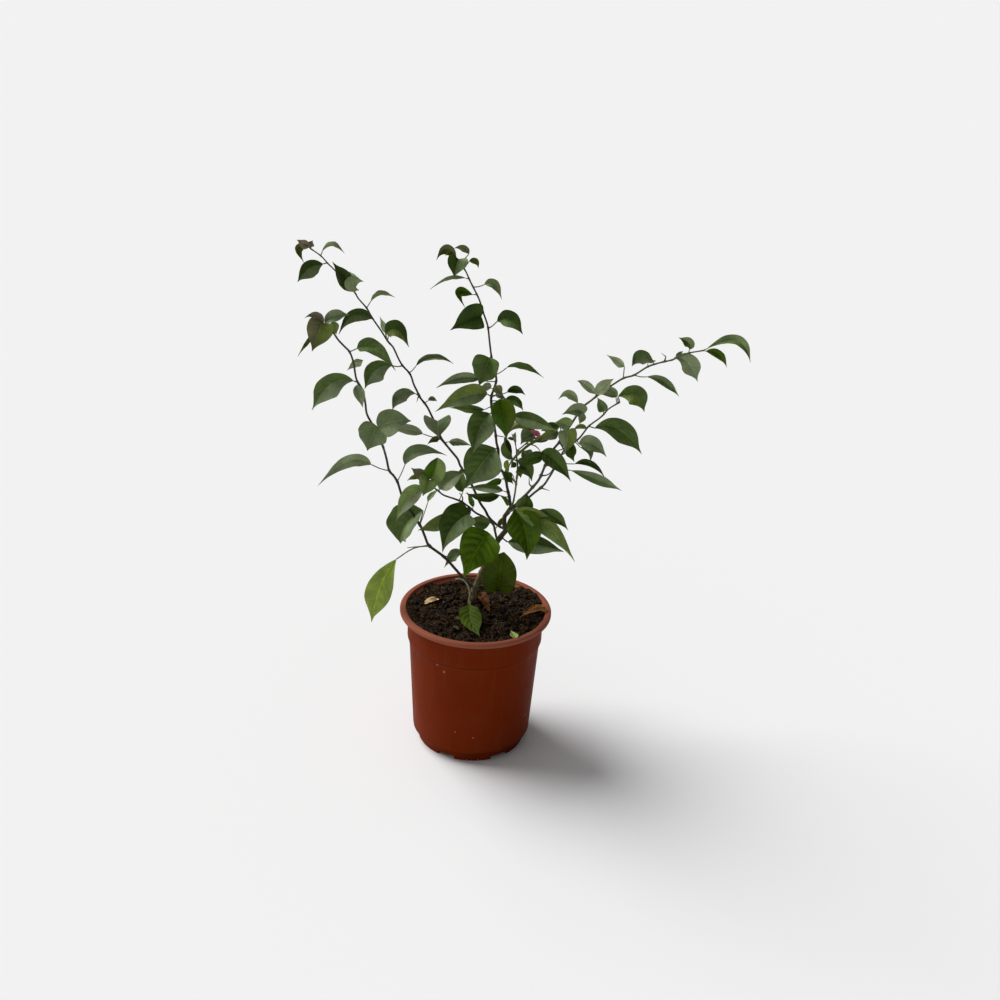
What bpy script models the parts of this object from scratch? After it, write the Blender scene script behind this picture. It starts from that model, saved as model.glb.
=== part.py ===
# Potted bougainvillea: a young climbing plant with long arching shoots in a 14 cm terracotta-brown
# nursery pot. Lengths in the lists are millimetres, and the scene is in metres with +Z up.
# The origin is the centre of the pot's underside.
#
# Each place on the plant is (across, height, fore): across and height were measured on the upright
# plane through the pot's axis, as seen from VIEWPOINT, and fore is how far the place lies off that
# plane along the line of sight, towards VIEWPOINT.

import math
import random

import bmesh
import bpy
from mathutils import Vector

MM = 0.001
VIEWPOINT = Vector((17.5, -1142.0, 757.0))
SEED = 7
CLEARANCE = 0.3

# Pot
RIM_RADIUS = 70.0
POT_HEIGHT = 135.9
LIP_DEPTH = 4.5
LIP_INNER_RADIUS = 64.3
COLLAR_RADIUS = 62.6
COLLAR_BOTTOM = 106.8
COLLAR_STEP = 1.0
STEP_BOTTOM = 97.5
BODY_TOP_RADIUS = 60.3
BODY_BOTTOM_RADIUS = 55.2
BODY_BOTTOM = 11.5
CORNER_RISE = 2.4
FOOT_RADIUS = 50.2
FOOT_HEIGHT = 8.6
WALL = 1.4
FLOOR_UNDERSIDE = 5.6
FLOOR_TOP = 7.0
FLOOR_RADIUS = 46.8
FOOT_WALL = 1.8
PAD_RADIUS = 12.0
POT_SIDES = 44
FEET = 6
FOOT_TURN = 4.4
FOOT_GAP = 17.5
FOOT_GAP_HEIGHT = 3.6
TOOTH_GAP = 1.6
TOOTH_GAP_HEIGHT = 1.8
TOOTH_GAP_TURN = 6.0
DRAIN_HOLES = 8
DRAIN_HOLE_RADIUS = 4.0
DRAIN_CIRCLE_RADIUS = 36.0

# Soil
SOIL_LEVEL = 131.0
SOIL_RINGS = 5
SOIL_SIDES = 32
SOIL_SIDE_GAP = 0.6
HEAP_CENTRE = (51.0, 31.0)
HEAP_HEIGHT = 3.6
HEAP_SPREAD = 11.0

# Leaves
BLADE = 0.7
STALK_HALF_WIDTH = 0.48
LONG_STALK = 9.0
STALK_SAG = 0.8
LEAN = 0.6
GOLDEN_ANGLE = math.radians(137.5)
SHORT_LEAF = 21.0
MEDIUM_LEAF = 34.0
STEM_DETAIL = 0.7
FOLD = 24.0
WAVE = 0.05
# Outlines from the base to the tip: (share of the length, share of the half width). EARS is how far
# a blade's sides reach back past its base, as a share of the width.
OUTLINES = {
    "ovate": ((0.0, 0.0), (0.14, 0.78), (0.36, 1.0), (0.6, 0.78), (0.83, 0.27), (1.0, 0.0)),
    "heart": ((0.0, 0.0), (0.1, 0.84), (0.3, 1.0), (0.55, 0.72), (0.8, 0.26), (1.0, 0.0)),
    "round": ((0.0, 0.0), (0.14, 0.72), (0.4, 1.0), (0.68, 0.9), (0.9, 0.48), (1.0, 0.0)),
    "medium": ((0.0, 0.0), (0.18, 0.86), (0.46, 0.97), (0.77, 0.38), (1.0, 0.0)),
    "short": ((0.0, 0.0), (0.28, 0.97), (0.62, 0.74), (1.0, 0.0)),
}
EARS = {"ovate": 0.06, "heart": 0.2, "round": 0.06, "medium": 0.06, "short": 0.06}

# Each stem is a list of (across, height, fore), with its radius at the root and at the end. Its bow
# is how much further forward its end lies than the list says, growing with the square of the way.
# Leaves lean forwards and back in turn, round the stem by the golden angle, apart from held ones.
# Each leaf is (where its stalk leaves the stem, base, middle, tip, width, turn). Fore of the base,
# middle and tip is counted from the stem's own fore there. Turn is how far the blade is rolled
# about its midrib from squarely facing VIEWPOINT, in degrees.
TRUNK = {
    "stem": [
        (-6.5, 120, -19), (-5, 131, -18), (-4.5, 139, -18), (-3, 147, -18), (-1.5, 155, -17.5),
        (1, 163, -17), (4, 172, -16.5), (8, 184, -16), (13, 195, -15), (17, 204, -14.5),
        (21, 211, -14), (24, 216.5, -12.5), (22.5, 222, -11.5), (22.3, 229, -10.5), (25, 233.5, -9.5),
        (27.3, 238, -9),
    ],
    "radii": (3.4, 1.9),
    "leaves": [],
}
TRUNK_STUB = [
    (-3.5, 145, -17.5), (-5.5, 149, -16), (-7.5, 156, -14), (-11, 162, -12), (-15, 164.3, -11),
    (-19.5, 164, -10),
]
STUB_RADIUS = 1.0

LEFT_LOW_SHOOT = {
    "stem": [
        (-1.5, 155, -17.5), (-9, 161.5, -16), (-14, 167, -14), (-20, 174, -12), (-26, 181, -10),
        (-32, 187, -8), (-38, 191.5, -6), (-45.2, 197.2, -4), (-48.5, 205, -3), (-52.5, 215, -2),
        (-57, 222, -1), (-61.8, 229.3, 0), (-65.5, 234, 0), (-70, 244, 1), (-72, 250.3, 2),
        (-74.4, 258, 3), (-78, 264, 4), (-82, 268.8, 5), (-84.5, 280, 7), (-87.6, 291, 9),
        (-90.5, 297, 10), (-95, 308, 12), (-101.8, 320.4, 14), (-103.5, 331, 16), (-105.8, 342.8, 18),
        (-111.2, 352.3, 20), (-113.9, 367.4, 23), (-117.2, 376.9, 25), (-122, 382, 26),
        (-127, 387.3, 27), (-131.6, 393.9, 28), (-138, 399.5, 30),
    ],
    "bow": 27,
    "held": (13,),
    "radii": (1.6, 0.9),
    "leaves": [
        ((-138, 399), (-141, 403, 0), (-147, 407, 2), (-155, 405.5, 4), 7, 40),
        ((-138, 399), (-138, 404, -1), (-129, 409, -3), (-118, 409, -5), 7, 30),
        ((-138, 399), (-141, 401, 2), (-145, 390, 5), (-149, 375.5, 7), 18, 0),
        ((-136, 398), (-143, 397, 1), (-153, 385, 0), (-161.5, 370.5, 0), 5, 50),
        ((-134, 396), (-133, 400, -1), (-129, 398, -2), (-127, 391, -3), 7, 20),
        ((-117.5, 377), (-110, 378, 1), (-94, 380, 4), (-77.5, 362, 8), 9, 35),
        ((-114, 368), (-108, 368, -3), (-113, 365, -6), (-119.5, 359, -8), 7, 20),
        ((-110, 349.5), (-114, 351, 2), (-133, 346, 6), (-150, 322, 10), 19, 10),
        ((-109, 348), (-111.5, 345, 1), (-109, 337, 2), (-105.5, 327, 3), 6, 20),
        ((-88, 291.5), (-93, 311, 6), (-97, 301, 9), (-101.7, 286, 9), 29, 0, "heart"),
        ((-95.5, 309), (-91, 311.5, 3), (-78, 317, 5), (-63, 316.5, 2), 20, 0, "heart"),
        ((-81.5, 268.5), (-98, 273.5, 4), (-119, 275.5, 8), (-145.5, 250, 12), 13, 15),
        ((-74.5, 258.5), (-68, 275, 7), (-57, 289.5, 11), (-30.5, 285.5, 13), 12, 0),
        ((-53, 217), (-47, 240, -8), (-43, 247, -12), (-37, 254, -16), 6, 45),
        ((-53, 218), (-51, 231, 2), (-67, 213, 6), (-70.5, 197, 8), 35, -30),
        ((-45, 197), (-74.5, 181, 4), (-88.5, 152, 6), (-96.5, 114, 8), 26, 0),
        ((-44, 196.6), (-58, 194.5, 1), (-61, 194, 1), (-64.5, 193.3, 1), 2, 40),
        ((-31, 186.5), (-28, 188, -3), (-21, 190.5, -6), (-10, 189, -9), 12, 0),
        ((-30, 185.5), (-30, 184, -3), (-29.5, 180, -4), (-30.5, 175, -5), 6, 0),
    ],
}

LEFT_TALL_SHOOT = {
    "stem": [
        (24, 217, -12.5), (20, 218.5, -15.5), (16.4, 220.4, -17.5), (11.5, 224.5, -19), (7.7, 228.8, -20),
        (4.5, 235, -22), (0.3, 241, -24), (-6, 254, -28), (-12, 266, -31), (-18.9, 276.4, -34),
        (-21.6, 283, -36), (-26.8, 289.4, -37), (-33, 297, -39), (-36.9, 302.1, -40),
        (-40, 311, -42), (-45.1, 321.4, -44), (-50, 331, -46), (-56, 338.8, -48), (-59, 345, -49),
        (-61.7, 350.4, -50), (-65.2, 359.8, -51), (-71.9, 367.3, -53), (-76, 374.5, -54),
        (-80, 383, -55), (-84.5, 388, -56), (-91, 398, -58), (-97.7, 407.5, -60), (-103, 416.6, -62),
        (-110, 424.5, -63), (-113.1, 429.7, -64), (-122, 440, -66), (-132.6, 450.5, -68),
        (-136, 453.7, -69), (-141.2, 459.3, -70), (-150.4, 465.5, -72),
    ],
    "bow": 0,
    "radii": (1.5, 0.65),
    "leaves": [
        ((-150, 465), (-151, 466.5, 0), (-154, 469.5, 1), (-158, 472.5, 2), 7, 20),
        ((-149, 464.5), (-153, 465, 1), (-160, 463, 3), (-155.5, 453, 5), 7, 45),
        ((-141.5, 459.5), (-140, 464, 1), (-131, 468.5, 4), (-121.5, 462.5, 7), 8, 60),
        ((-136, 453.7), (-139, 452, 1), (-150, 447, 5), (-161, 436, 9), 13, 15),
        ((-112.5, 429), (-115, 433, 2), (-121.5, 444, 4), (-131.5, 454.5, 6), 15, 10),
        ((-112.5, 429), (-112, 433, -2), (-110, 436, -4), (-105.5, 439.5, -7), 9, 10),
        ((-113, 430), (-114, 436, -3), (-116.5, 442, -7), (-117, 447.5, -13), 12, 0),
        ((-103, 416.5), (-99.5, 423, 1), (-90, 429, 4), (-79, 427, 8), 8, 55),
        ((-98, 408), (-101.5, 408.5, 1), (-117, 408.5, 5), (-127, 392, 9), 12, 20),
        ((-85, 388.5), (-84, 392, 1), (-86, 400, -2), (-92, 410.5, -6), 13, 0),
        ((-83, 387), (-81, 391, 2), (-74.5, 398, 5), (-66, 386.5, 9), 12, 25),
        ((-71.5, 367), (-82, 365.8, 3), (-95, 362, 7), (-104, 345, 12), 15, 15),
        ((-65.5, 361), (-60, 368, -1), (-44, 375.5, -4), (-28, 371, -8), 9, 45),
        ((-57, 340), (-60, 341, 1), (-73, 339.5, 4), (-80, 326, 8), 9, 15),
        ((-52, 334), (-49, 336.5, 0), (-45, 338, -1), (-41, 336, -2), 5, 20),
        ((-57, 341), (-58, 338, 1), (-58.5, 336, 1), (-59, 334, 1), 1.4, 0),
        ((-41.5, 314), (-40.2, 318, 2), (-39.8, 312, 5), (-38.5, 301.5, 5), 27, 0, "heart"),
        ((-33.5, 298), (-30, 298.7, 1), (-21, 299.5, 3), (-10, 296, 5), 9, -35),
        ((-36, 300.5), (-38, 300.5, 3), (-43, 300.5, 5), (-49, 295, 7), 6, 10),
        ((-37, 302), (-53, 305, 2), (-68, 309.5, 4), (-88, 309, 2), 10, 15),
    ],
}

ROSETTE_TWIG = {
    "stem": [
        (17, 204, -14.5), (14.5, 214, -9.5), (13, 220, -8.5), (9.5, 223.8, -8), (4, 228, -8),
        (-3.4, 231.5, -8), (-9.9, 237.1, -8), (-16.4, 241.6, -7), (-22.7, 244.2, -5), (-33, 247.5, -2),
        (-38, 251.5, -1), (-42, 254.5, 0), (-46, 260, 1), (-48, 265, 2),
    ],
    "bow": 6,
    "held": (3, 4, 5, 7, 8, 9),
    "radii": (1.3, 0.8),
    "leaves": [
        ((-47, 263), (-45, 262.5, 1), (-40.5, 273, 3), (-39.5, 283.5, -2), 20, 0, "round"),
        ((-47.5, 264), (-48, 263, 0), (-55, 267, 2), (-62.7, 272.5, 3), 11, 0),
        ((-47, 262), (-54, 264.5, -2), (-60, 263.7, -1), (-66, 259.4, 0), 5, 15),
        ((-46.5, 261), (-46.5, 261.3, 3), (-48.7, 254.5, 8), (-51.7, 245.5, 12), 20, 0, "heart"),
        ((-45, 259), (-51, 253.5, 3), (-64.5, 242, 7), (-75.2, 219.2, 10), 18, -5),
        ((-37.5, 251.5), (-36.5, 253, 1), (-27.5, 263, -1), (-13.5, 272, -7), 18, 10),
        ((-19, 243), (-15.8, 251.6, -2), (-19, 263, -5), (-17, 276.5, -9), 13, 0),
        ((-16, 241.5), (-16, 246, -2), (-17.5, 248.5, -2), (-19, 250.5, -2), 1.6, 0),
        ((-9, 236.5), (-15, 231, 4), (-37, 219.5, 9), (-55.3, 211.3, 13), 16, 5),
        ((-8, 235.5), (-10, 230, 12), (-25, 214.5, 21), (-32.5, 190, 24), 30, -18, "heart"),
        ((-8, 235.5), (-8, 233, 4), (-13, 232, 6), (-19, 229.5, 7), 8, 0),
        ((9.5, 223.8), (9, 221, 3), (-1, 223, 6), (-13, 223, 9), 13, 10),
        ((-7, 235), (-6.5, 237, 1), (-7.5, 244, 1), (-13, 252, 1), 7, 40),
        ((14, 216), (17.5, 221, 2), (19.5, 225, 3), (21.5, 229.5, 3), 5, 0),
    ],
}

CENTRE_SHOOT = {
    "stem": [
        (27.3, 238, -9), (26.6, 243, -9), (25.6, 249, -9), (23.3, 258, -9), (22, 265, -9),
        (19.5, 271.5, -9.5), (16, 277, -10), (14.6, 285, -10), (13.8, 293.3, -10), (12, 300, -10.5),
        (11, 307, -11), (9.3, 317, -12), (7.3, 327, -12), (6, 335, -13), (5.5, 343, -13),
        (7.5, 350, -13), (9.2, 357.3, -12), (8.4, 363, -12), (6, 372, -11), (4.1, 379.1, -10),
        (1.9, 392.7, -9), (-0.2, 406.1, -8), (-4.3, 417.3, -7), (-8.7, 429.6, -6), (-16.3, 443.8, -4),
        (-21.2, 453.5, -3), (-27, 458.5, -2),
    ],
    "bow": 22,
    "radii": (1.55, 0.7),
    "leaves": [
        ((-27, 458.5), (-30.5, 465, 1), (-39, 470.5, 3), (-46.5, 462, 6), 8, 40),
        ((-27, 458.5), (-29.5, 468, -1), (-25, 472, -3), (-17.5, 468.5, -5), 5, 30),
        ((-26, 458), (-27, 461.5, 2), (-28.5, 456, 4), (-30, 447.5, 6), 16, 0),
        ((-22, 454.5), (-16, 460, -1), (-12.5, 460, -2), (-9.5, 457, -3), 5, 10),
        ((-17.5, 446), (-21, 446.5, 1), (-34, 446.5, 4), (-50, 435, 8), 5, 45),
        ((-10.5, 433), (-15, 434.5, 1), (-25.5, 432.5, 4), (-19, 422, 8), 7, 35),
        ((-5, 419), (-8, 417, 2), (-18, 413, 5), (-32, 400.5, 9), 20, 0),
        ((-13.5, 439.5), (-7.5, 441.5, 1), (3, 441.5, 4), (10.7, 430.5, 7), 8, 30),
        ((0, 404), (5.5, 410.8, 1), (17, 413, 4), (29.7, 402.4, 8), 13, 10),
        ((4.2, 379), (2.5, 377, 3), (-1, 366, 7), (-5.5, 352, 8), 27, -8, "heart"),
        ((9, 357), (-5, 358, -3), (-23, 358.5, 0), (-42.5, 348, 3), 11, 10),
        ((5.5, 343), (2, 345, 1), (-18, 342, 5), (-43, 326, 9), 19, 0),
        ((6.3, 334), (0, 330.5, 1), (-14, 331, 3), (-30, 331, 4), 5, 25),
        ((8.4, 363), (18, 370.5, -2), (33, 370.5, -5), (50, 362.5, -8), 9, 50),
        ((5.8, 344), (19, 347.5, -2), (27, 350.5, -4), (35, 345.5, -6), 8, 0),
        ((8.5, 355), (9, 353, 3), (11.5, 349.5, 5), (15.5, 345.5, 5), 9, 0),
        ((7.5, 350), (5, 350.5, -2), (1, 352, -4), (-4, 350.5, -5), 8, 0),
        ((5.6, 342), (9, 344, 1), (13, 344, 2), (19, 341, 2), 6, 20),
        ((7.2, 328), (4.5, 326.5, 4), (-4, 310, 10), (-9, 289, 14), 24, 0),
        ((6, 336), (13, 341, 8), (17.5, 325, 15), (20.5, 304.5, 16), 20, 0),
        ((5.8, 339), (18, 341.5, 1), (27, 339.5, -1), (34, 331, -3), 9, 10),
        ((8, 323), (27, 328.5, -2), (46, 325.5, 2), (64.7, 316, 5), 16, 0),
        ((8.6, 320), (24, 324.5, -3), (31, 324.5, -4), (40, 322, -5), 5, 0),
        ((13.8, 294), (11, 295, 2), (-1, 278, 5), (-14, 256, 8), 34, 0),
        ((21, 268), (18, 265, 3), (11.5, 262.5, 5), (3, 260, 7), 7, 20),
        ((24.5, 253), (20, 254.5, 5), (5, 256.5, 9), (-14, 255.5, 12), 9, 0),
        ((25.5, 249), (17, 250, 6), (2, 247.5, 9), (-14, 250.5, 10), 9, 10),
        ((20.5, 269), (21.5, 271, 2), (22.5, 275, 3), (24, 279.5, 3), 4, 0),
        ((22, 264), (23, 264, 2), (25.5, 267, 3), (22, 271, 3), 6, 0),
        ((26.6, 243), (24, 240, 4), (22.5, 246.5, 6), (15.5, 250.5, 7), 5, 40),
    ],
}

MIDDLE_SPRAY = {
    "stem": [
        (27.3, 238, -9), (29.3, 243.5, -6), (30.2, 250, -5), (30.9, 258, -5), (31.4, 268, -4),
        (31.5, 280, -3), (30, 292, -2), (34, 297, -1), (38, 301, 0), (42, 305, 0), (46, 306.8, 0),
    ],
    "bow": -14,
    "radii": (1.1, 0.6),
    "leaves": [
        ((30, 292), (28.5, 301, 0), (27, 306, 0), (24.5, 309.5, 0), 3, 0),
        ((30, 292), (28.5, 303, 0), (27.5, 308, 0), (28.5, 311.5, 0), 3, 0),
        ((44, 306), (43.5, 311.5, -1), (31.5, 319, 1), (20.7, 307.4, 2), 9, 10),
        ((45, 306.5), (45, 309, -3), (38, 308.5, -4), (33, 300.3, -5), 14, 0),
        ((31, 293.2), (35, 293, 1), (40, 289.5, 2), (47.6, 290.8, 3), 12, 0),
        ((31.5, 278), (35.5, 278.5, 1), (41, 274, 2), (44.5, 265.8, 3), 14, 0, "heart"),
        ((31.5, 277), (33, 275.5, 1), (34, 272, 2), (35, 267.5, 3), 5, 0),
        ((31.5, 282), (30, 282, 2), (28, 280, 3), (25.5, 277, 3), 6, 0),
        ((31.5, 283), (27, 286, 1), (19.5, 294, 2), (20, 304.5, 2), 8, 20),
        ((29.8, 293.5), (27.5, 303.5, 2), (24, 305, 2), (20.5, 304.5, 2), 3, 0),
    ],
}

RIGHT_LONG_SHOOT = {
    "stem": [
        (27.3, 238, -9), (31.5, 241.5, -8.5), (35.5, 246.5, -8), (40.9, 252.6, -8), (46, 259.5, -7),
        (51.3, 267.5, -6), (55.9, 281.1, -4), (61.8, 296, -2), (66.7, 303.4, 0), (71, 312, 2),
        (76.9, 322.6, 4), (84.5, 336.6, 6), (92, 344, 8), (100, 351.5, 9.5), (108.1, 358.2, 11),
        (118.1, 365.6, 13), (127, 368.9, 14.5), (138.1, 377.1, 16), (150, 381.8, 18),
        (158.4, 384.3, 19), (165, 388.3, 20), (172.1, 391.2, 21), (184, 394, 22),
    ],
    "bow": 16,
    "radii": (1.5, 0.7),
    "leaves": [
        ((58, 287), (54, 294, 2), (66, 283.5, 4), (79.2, 267, 6), 14, 0),
        ((57, 284.5), (54.5, 290, 3), (44, 285.5, 9), (31.8, 276.6, 11), 10, 5),
        ((61.5, 295), (61.5, 294, -2), (58, 290, -3), (54, 284.5, -4), 10, 0),
        ((68.5, 307.5), (64.5, 311.5, 1), (60, 306, 3), (53.5, 304, 4), 9, 0),
        ((70, 310), (65.5, 313.5, 2), (58, 310.7, 4), (50.6, 308.2, 5), 8, 5),
        ((75.5, 320), (76.5, 317, 3), (70, 320, 5), (63, 321, 5), 12, 0),
        ((72.5, 314.5), (76, 313, 3), (75.5, 306, 6), (72.5, 295.5, 7), 18, 0, "heart"),
        ((83.5, 335), (79, 344, 1), (72, 348.7, 3), (64, 343.5, 5), 6, 35),
        ((84.5, 336.6), (87, 333.5, 2), (79, 334, 4), (69.9, 330.4, 5), 11, 0),
        ((84.5, 336.6), (86.5, 332, 1), (85.2, 328, 2), (83.2, 321, 3), 8, 0),
        ((106, 356.5), (105, 358, 2), (93, 358.5, 4), (79, 361, 5), 9, 0),
        ((94, 346), (95, 349, 1), (98, 355.5, 2), (109, 364.7, 1), 11, 0),
        ((118, 365.6), (117, 377, 2), (111, 381.5, 3), (102, 385.6, 5), 6, 20),
        ((138, 377), (136.5, 381.5, 2), (130.5, 383, 5), (125, 383.5, 9), 13, 0),
        ((138, 377), (138, 381, 1), (141, 382, 0), (145, 382.8, -1), 3, 0),
        ((127, 368.9), (138, 367.7, 1), (152, 363.3, 4), (167.5, 352, 7), 7, 20),
        ((151.5, 382.5), (152.5, 386.5, 1), (150.5, 388.3, 1), (148.5, 390, 1), 1.5, 0),
        ((158.5, 384.5), (161, 386, 2), (171, 382, 4), (181.7, 366, 7), 14, 0),
        ((159, 384.7), (161, 387.3, -1), (164, 390.2, -2), (166.8, 392.6, -3), 3.4, 0),
        ((171.5, 391), (171.5, 395, 1), (170, 399.7, 3), (162, 403.7, 5), 7, 10),
        ((183.5, 394), (187, 393.5, 2), (198, 390.7, 4), (205.5, 380, 6), 6, 10),
        ((183.5, 394), (188, 397.5, 0), (207, 402.5, 2), (224.7, 385, 5), 6.5, 20),
    ],
}

RIGHT_SECOND_SHOOT = {
    "stem": [
        (25, 233.5, -9.5), (29, 237, -13.5), (35, 242.5, -14.5), (42.4, 248.8, -15), (48, 254.5, -15.5),
        (53, 259.2, -16), (56.6, 263.4, -16.5), (59.5, 269, -17), (62.3, 274.5, -17.5),
        (65.5, 282.5, -18), (68.8, 290.3, -19), (73.1, 298.6, -21), (83.3, 307.6, -24),
        (88, 314.5, -26), (91.8, 320.4, -28), (101.6, 329.2, -30), (107.9, 337.2, -32),
        (116.9, 343.8, -34),
    ],
    "bow": 0,
    "radii": (1.4, 0.8),
    "leaves": [
        ((53, 259), (57, 258.2, 1), (59.5, 257.4, 1), (61.5, 256.6, 1), 1.4, 0),
        ((80.5, 305), (80, 305.5, 2), (77.6, 297, 4), (82.5, 286, 5), 12, 0),
        ((82, 306.5), (85, 303.5, 2), (96, 303.5, 3), (109.5, 292.5, 4), 11, 10),
        ((80.5, 305), (86, 299.5, 1), (94, 297, 2), (95, 285.5, 3), 7, 10),
        ((66.5, 285), (82, 284, 0), (97, 284, 2), (110, 271, 5), 7, 20),
        ((64.5, 280), (80, 277.5, 1), (101, 270.5, 3), (125, 260.5, 6), 10, 0),
        ((91, 319), (90, 317.5, 1), (84, 319.5, 1.5), (77.5, 314.5, 2), 5, 0),
        ((91.5, 320), (97.5, 318.5, 2), (117, 318.5, 5), (140, 297, 8), 18, 0),
        ((103.5, 332), (103.5, 335, 2), (101.5, 340.5, 3), (98, 348.5, 3), 8, 0),
        ((115.5, 343), (114, 346.5, 1), (110.5, 353, 2), (101, 352, 3), 5, 10),
        ((114.5, 342), (113, 348, 0), (106, 350.5, 0), (97.5, 350, 0), 5, 0),
        ((116.5, 343.7), (116, 347.5, 2), (127.5, 351, 4), (138.7, 336.5, 7), 18, 0),
    ],
}

RIGHT_LOW_SPRAY = {
    "stem": [(25, 233.5, -9.5), (29, 235.8, -5), (34, 237, -3), (40, 236, -3)],
    "bow": 4,
    "radii": (1.2, 0.9),
    "leaves": [
        ((31.5, 236.7), (31, 237, 3), (42.3, 214, 6), (44.5, 187, 8), 29, 0),
        ((36, 236.8), (37.5, 234, 1), (40, 243, 1), (41.5, 253.5, 0), 18, 0),
        ((33, 237), (31.5, 237.5, 5), (62, 219.5, 11), (88, 188, 16), 14, -5),
        ((40, 236), (45, 230.5, 0), (64, 232.5, 3), (80.5, 218.5, 6), 10, 10),
    ],
}

# Leaves that grow alone from low on the trunk: a stalk's places, then base, middle, tip, width and
# turn, all with their own fore.
RIGHT_LOW_LEAF = {
    "stem": [(20, 209.3, -14.2), (22.5, 207, -16), (25.5, 204.7, -17.5)],
    "radii": (0.9, 0.7),
    "leaves": [((25.5, 204.7), (26.5, 204.3, 0), (54, 202.5, 1), (78, 197, 3), 17, 0)],
}
FRONT_BIG_LEAF = {
    "stem": [(14.5, 198.5, -14.8), (13.5, 204, -9), (11, 209.5, -6.5)],
    "radii": (1.0, 0.8),
    "leaves": [((11, 209.5), (9.5, 212, 1), (-2, 193, 6), (-12.5, 164.5, 10), 35, 0)],
}
ROUND_LOW_LEAF = {
    "stem": [(-0.5, 158, -17.3), (5, 158.8, -13), (12, 158, -10.5), (17, 156, -9.5)],
    "held": (0,),
    "radii": (0.9, 0.8),
    "leaves": [((17, 156), (20, 155, 0), (21, 173, 4), (23.5, 194, 0), 34, 0, "round")],
}
FRONT_LOW_LEAF = {
    "stem": [(-4, 142, -18), (-5, 140.5, -12.5), (-5.5, 138.5, -8)],
    "held": (0,),
    "radii": (0.9, 0.8),
    "leaves": [((-5.5, 138.5), (-5.3, 137.5, 4), (-3.6, 121, 41.5), (5.3, 104.5, 69.5), 21, "up")],
}

# Small loose blades: base, middle and tip, then width. The bract has its fore, and the ones that lie
# on the soil have their height above it.
YOUNG_BRACT = ((46.6, 307.9, -13.6), (46.2, 310.6, -12.6), (42.3, 312.4, -11.5), 5.0)
DRY_CURLED_LEAF = ((5.5, 150.5, 1.2), (2.5, 143, 1.0), (12.5, 131.5, 1.2), 7.5)
DRY_LEAF_RIGHT = ((59.5, 133.5, 2.0), (51, 130, 1.0), (40.5, 126, 1.3), 13.0)
DRY_LEAF_LEFT = ((-36, 141.5, 1.2), (-42, 138.5, 1.0), (-50.5, 135.5, 1.2), 7.0)
FALLEN_GREEN_LEAF = ((36.5, 106.5, 1.6), (36.0, 110.0, 1.4), (34.0, 114.0, 1.6), 6.0)


def place(across, height, fore=0.0):
    """The point in metres that is seen at this place, fore millimetres off the measured plane."""
    spot = Vector((across, 0.0, height))
    return (spot + (VIEWPOINT - spot).normalized() * fore) * MM


def soil_height(x, y):
    """Height of the soil's lumpy top in millimetres, heaped up against the rim at one side."""
    lumps = 0.9 * math.sin(x / 9.0 + 0.7) * math.cos(y / 7.5 - 0.4) + 0.5 * math.sin((x + y) / 6.1 + 1.9)
    away = math.hypot(x - HEAP_CENTRE[0], y - HEAP_CENTRE[1])
    return SOIL_LEVEL + lumps + HEAP_HEIGHT * math.exp(-((away / HEAP_SPREAD) ** 2) / 2.0)


def on_soil(across, height, lift):
    """The point in metres that is seen at this place and lies lift millimetres above the soil."""
    fore = 0.0
    for _ in range(12):
        spot = place(across, height, fore) / MM
        fore += (soil_height(spot.x, spot.y) + lift - spot.z) / 0.47
    return place(across, height, fore)


def bowed(plan):
    """The places of a stem, with its bow added to their fore."""
    stem = [Vector(spot) for spot in plan["stem"]]
    ways = [0.0]
    for start, end in zip(stem, stem[1:]):
        ways.append(ways[-1] + (end - start).length)
    bow = plan.get("bow", 0.0)
    return [
        (spot.x, spot.y, spot.z + bow * (way / ways[-1]) ** 2) for spot, way in zip(stem, ways)
    ]


def stem_fore(stem, at):
    """The place on a stem nearest to (across, height), with the stem's fore there."""
    best = None
    for start, end in zip(stem, stem[1:]):
        run = Vector(end[:2]) - Vector(start[:2])
        share = (Vector(at) - Vector(start[:2])).dot(run) / max(run.length_squared, 1e-9)
        share = min(max(share, 0.0), 1.0)
        spot = Vector(start).lerp(Vector(end), share)
        away = (Vector(at) - spot.xy).length
        if best is None or away < best[0]:
            best = (away, spot)
    return best[1]


def thinned(path, detail):
    """The path without the places that lie within detail of the line between their neighbours."""
    if len(path) < 3:
        return list(path)
    start, end = Vector(path[0]), Vector(path[-1])
    run = end - start
    away = []
    for spot in path[1:-1]:
        share = min(max((Vector(spot) - start).dot(run) / run.length_squared, 0.0), 1.0)
        away.append((Vector(spot) - start - run * share).length)
    if max(away) < detail:
        return [path[0], path[-1]]
    split = away.index(max(away)) + 1
    return thinned(path[: split + 1], detail)[:-1] + thinned(path[split:], detail)


def new_object(name, mesh, collection):
    made = bpy.data.objects.new(name, mesh)
    collection.objects.link(made)
    return made


def tube(name, points, radii, collection, resolution=1):
    """A closed round stem through points in metres, with its radius running between two values."""
    curve = bpy.data.curves.new(name, "CURVE")
    curve.dimensions = "3D"
    curve.bevel_depth = MM
    curve.bevel_resolution = resolution
    curve.use_fill_caps = True
    spline = curve.splines.new("POLY")
    spline.points.add(len(points) - 1)
    for index, point in enumerate(points):
        spline.points[index].co = (*point, 1.0)
        share = index / (len(points) - 1)
        spline.points[index].radius = radii[0] + (radii[1] - radii[0]) * share
    guide = new_object(name, curve, collection)
    bpy.context.view_layer.update()
    graph = bpy.context.evaluated_depsgraph_get()
    mesh = bpy.data.meshes.new_from_object(guide.evaluated_get(graph))
    bpy.data.objects.remove(guide)
    shape = bmesh.new()
    shape.from_mesh(mesh)
    bmesh.ops.remove_doubles(shape, verts=shape.verts, dist=1e-6)
    bmesh.ops.triangulate(shape, faces=shape.faces)
    shape.to_mesh(mesh)
    shape.free()
    return new_object(name, mesh, collection)


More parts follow.
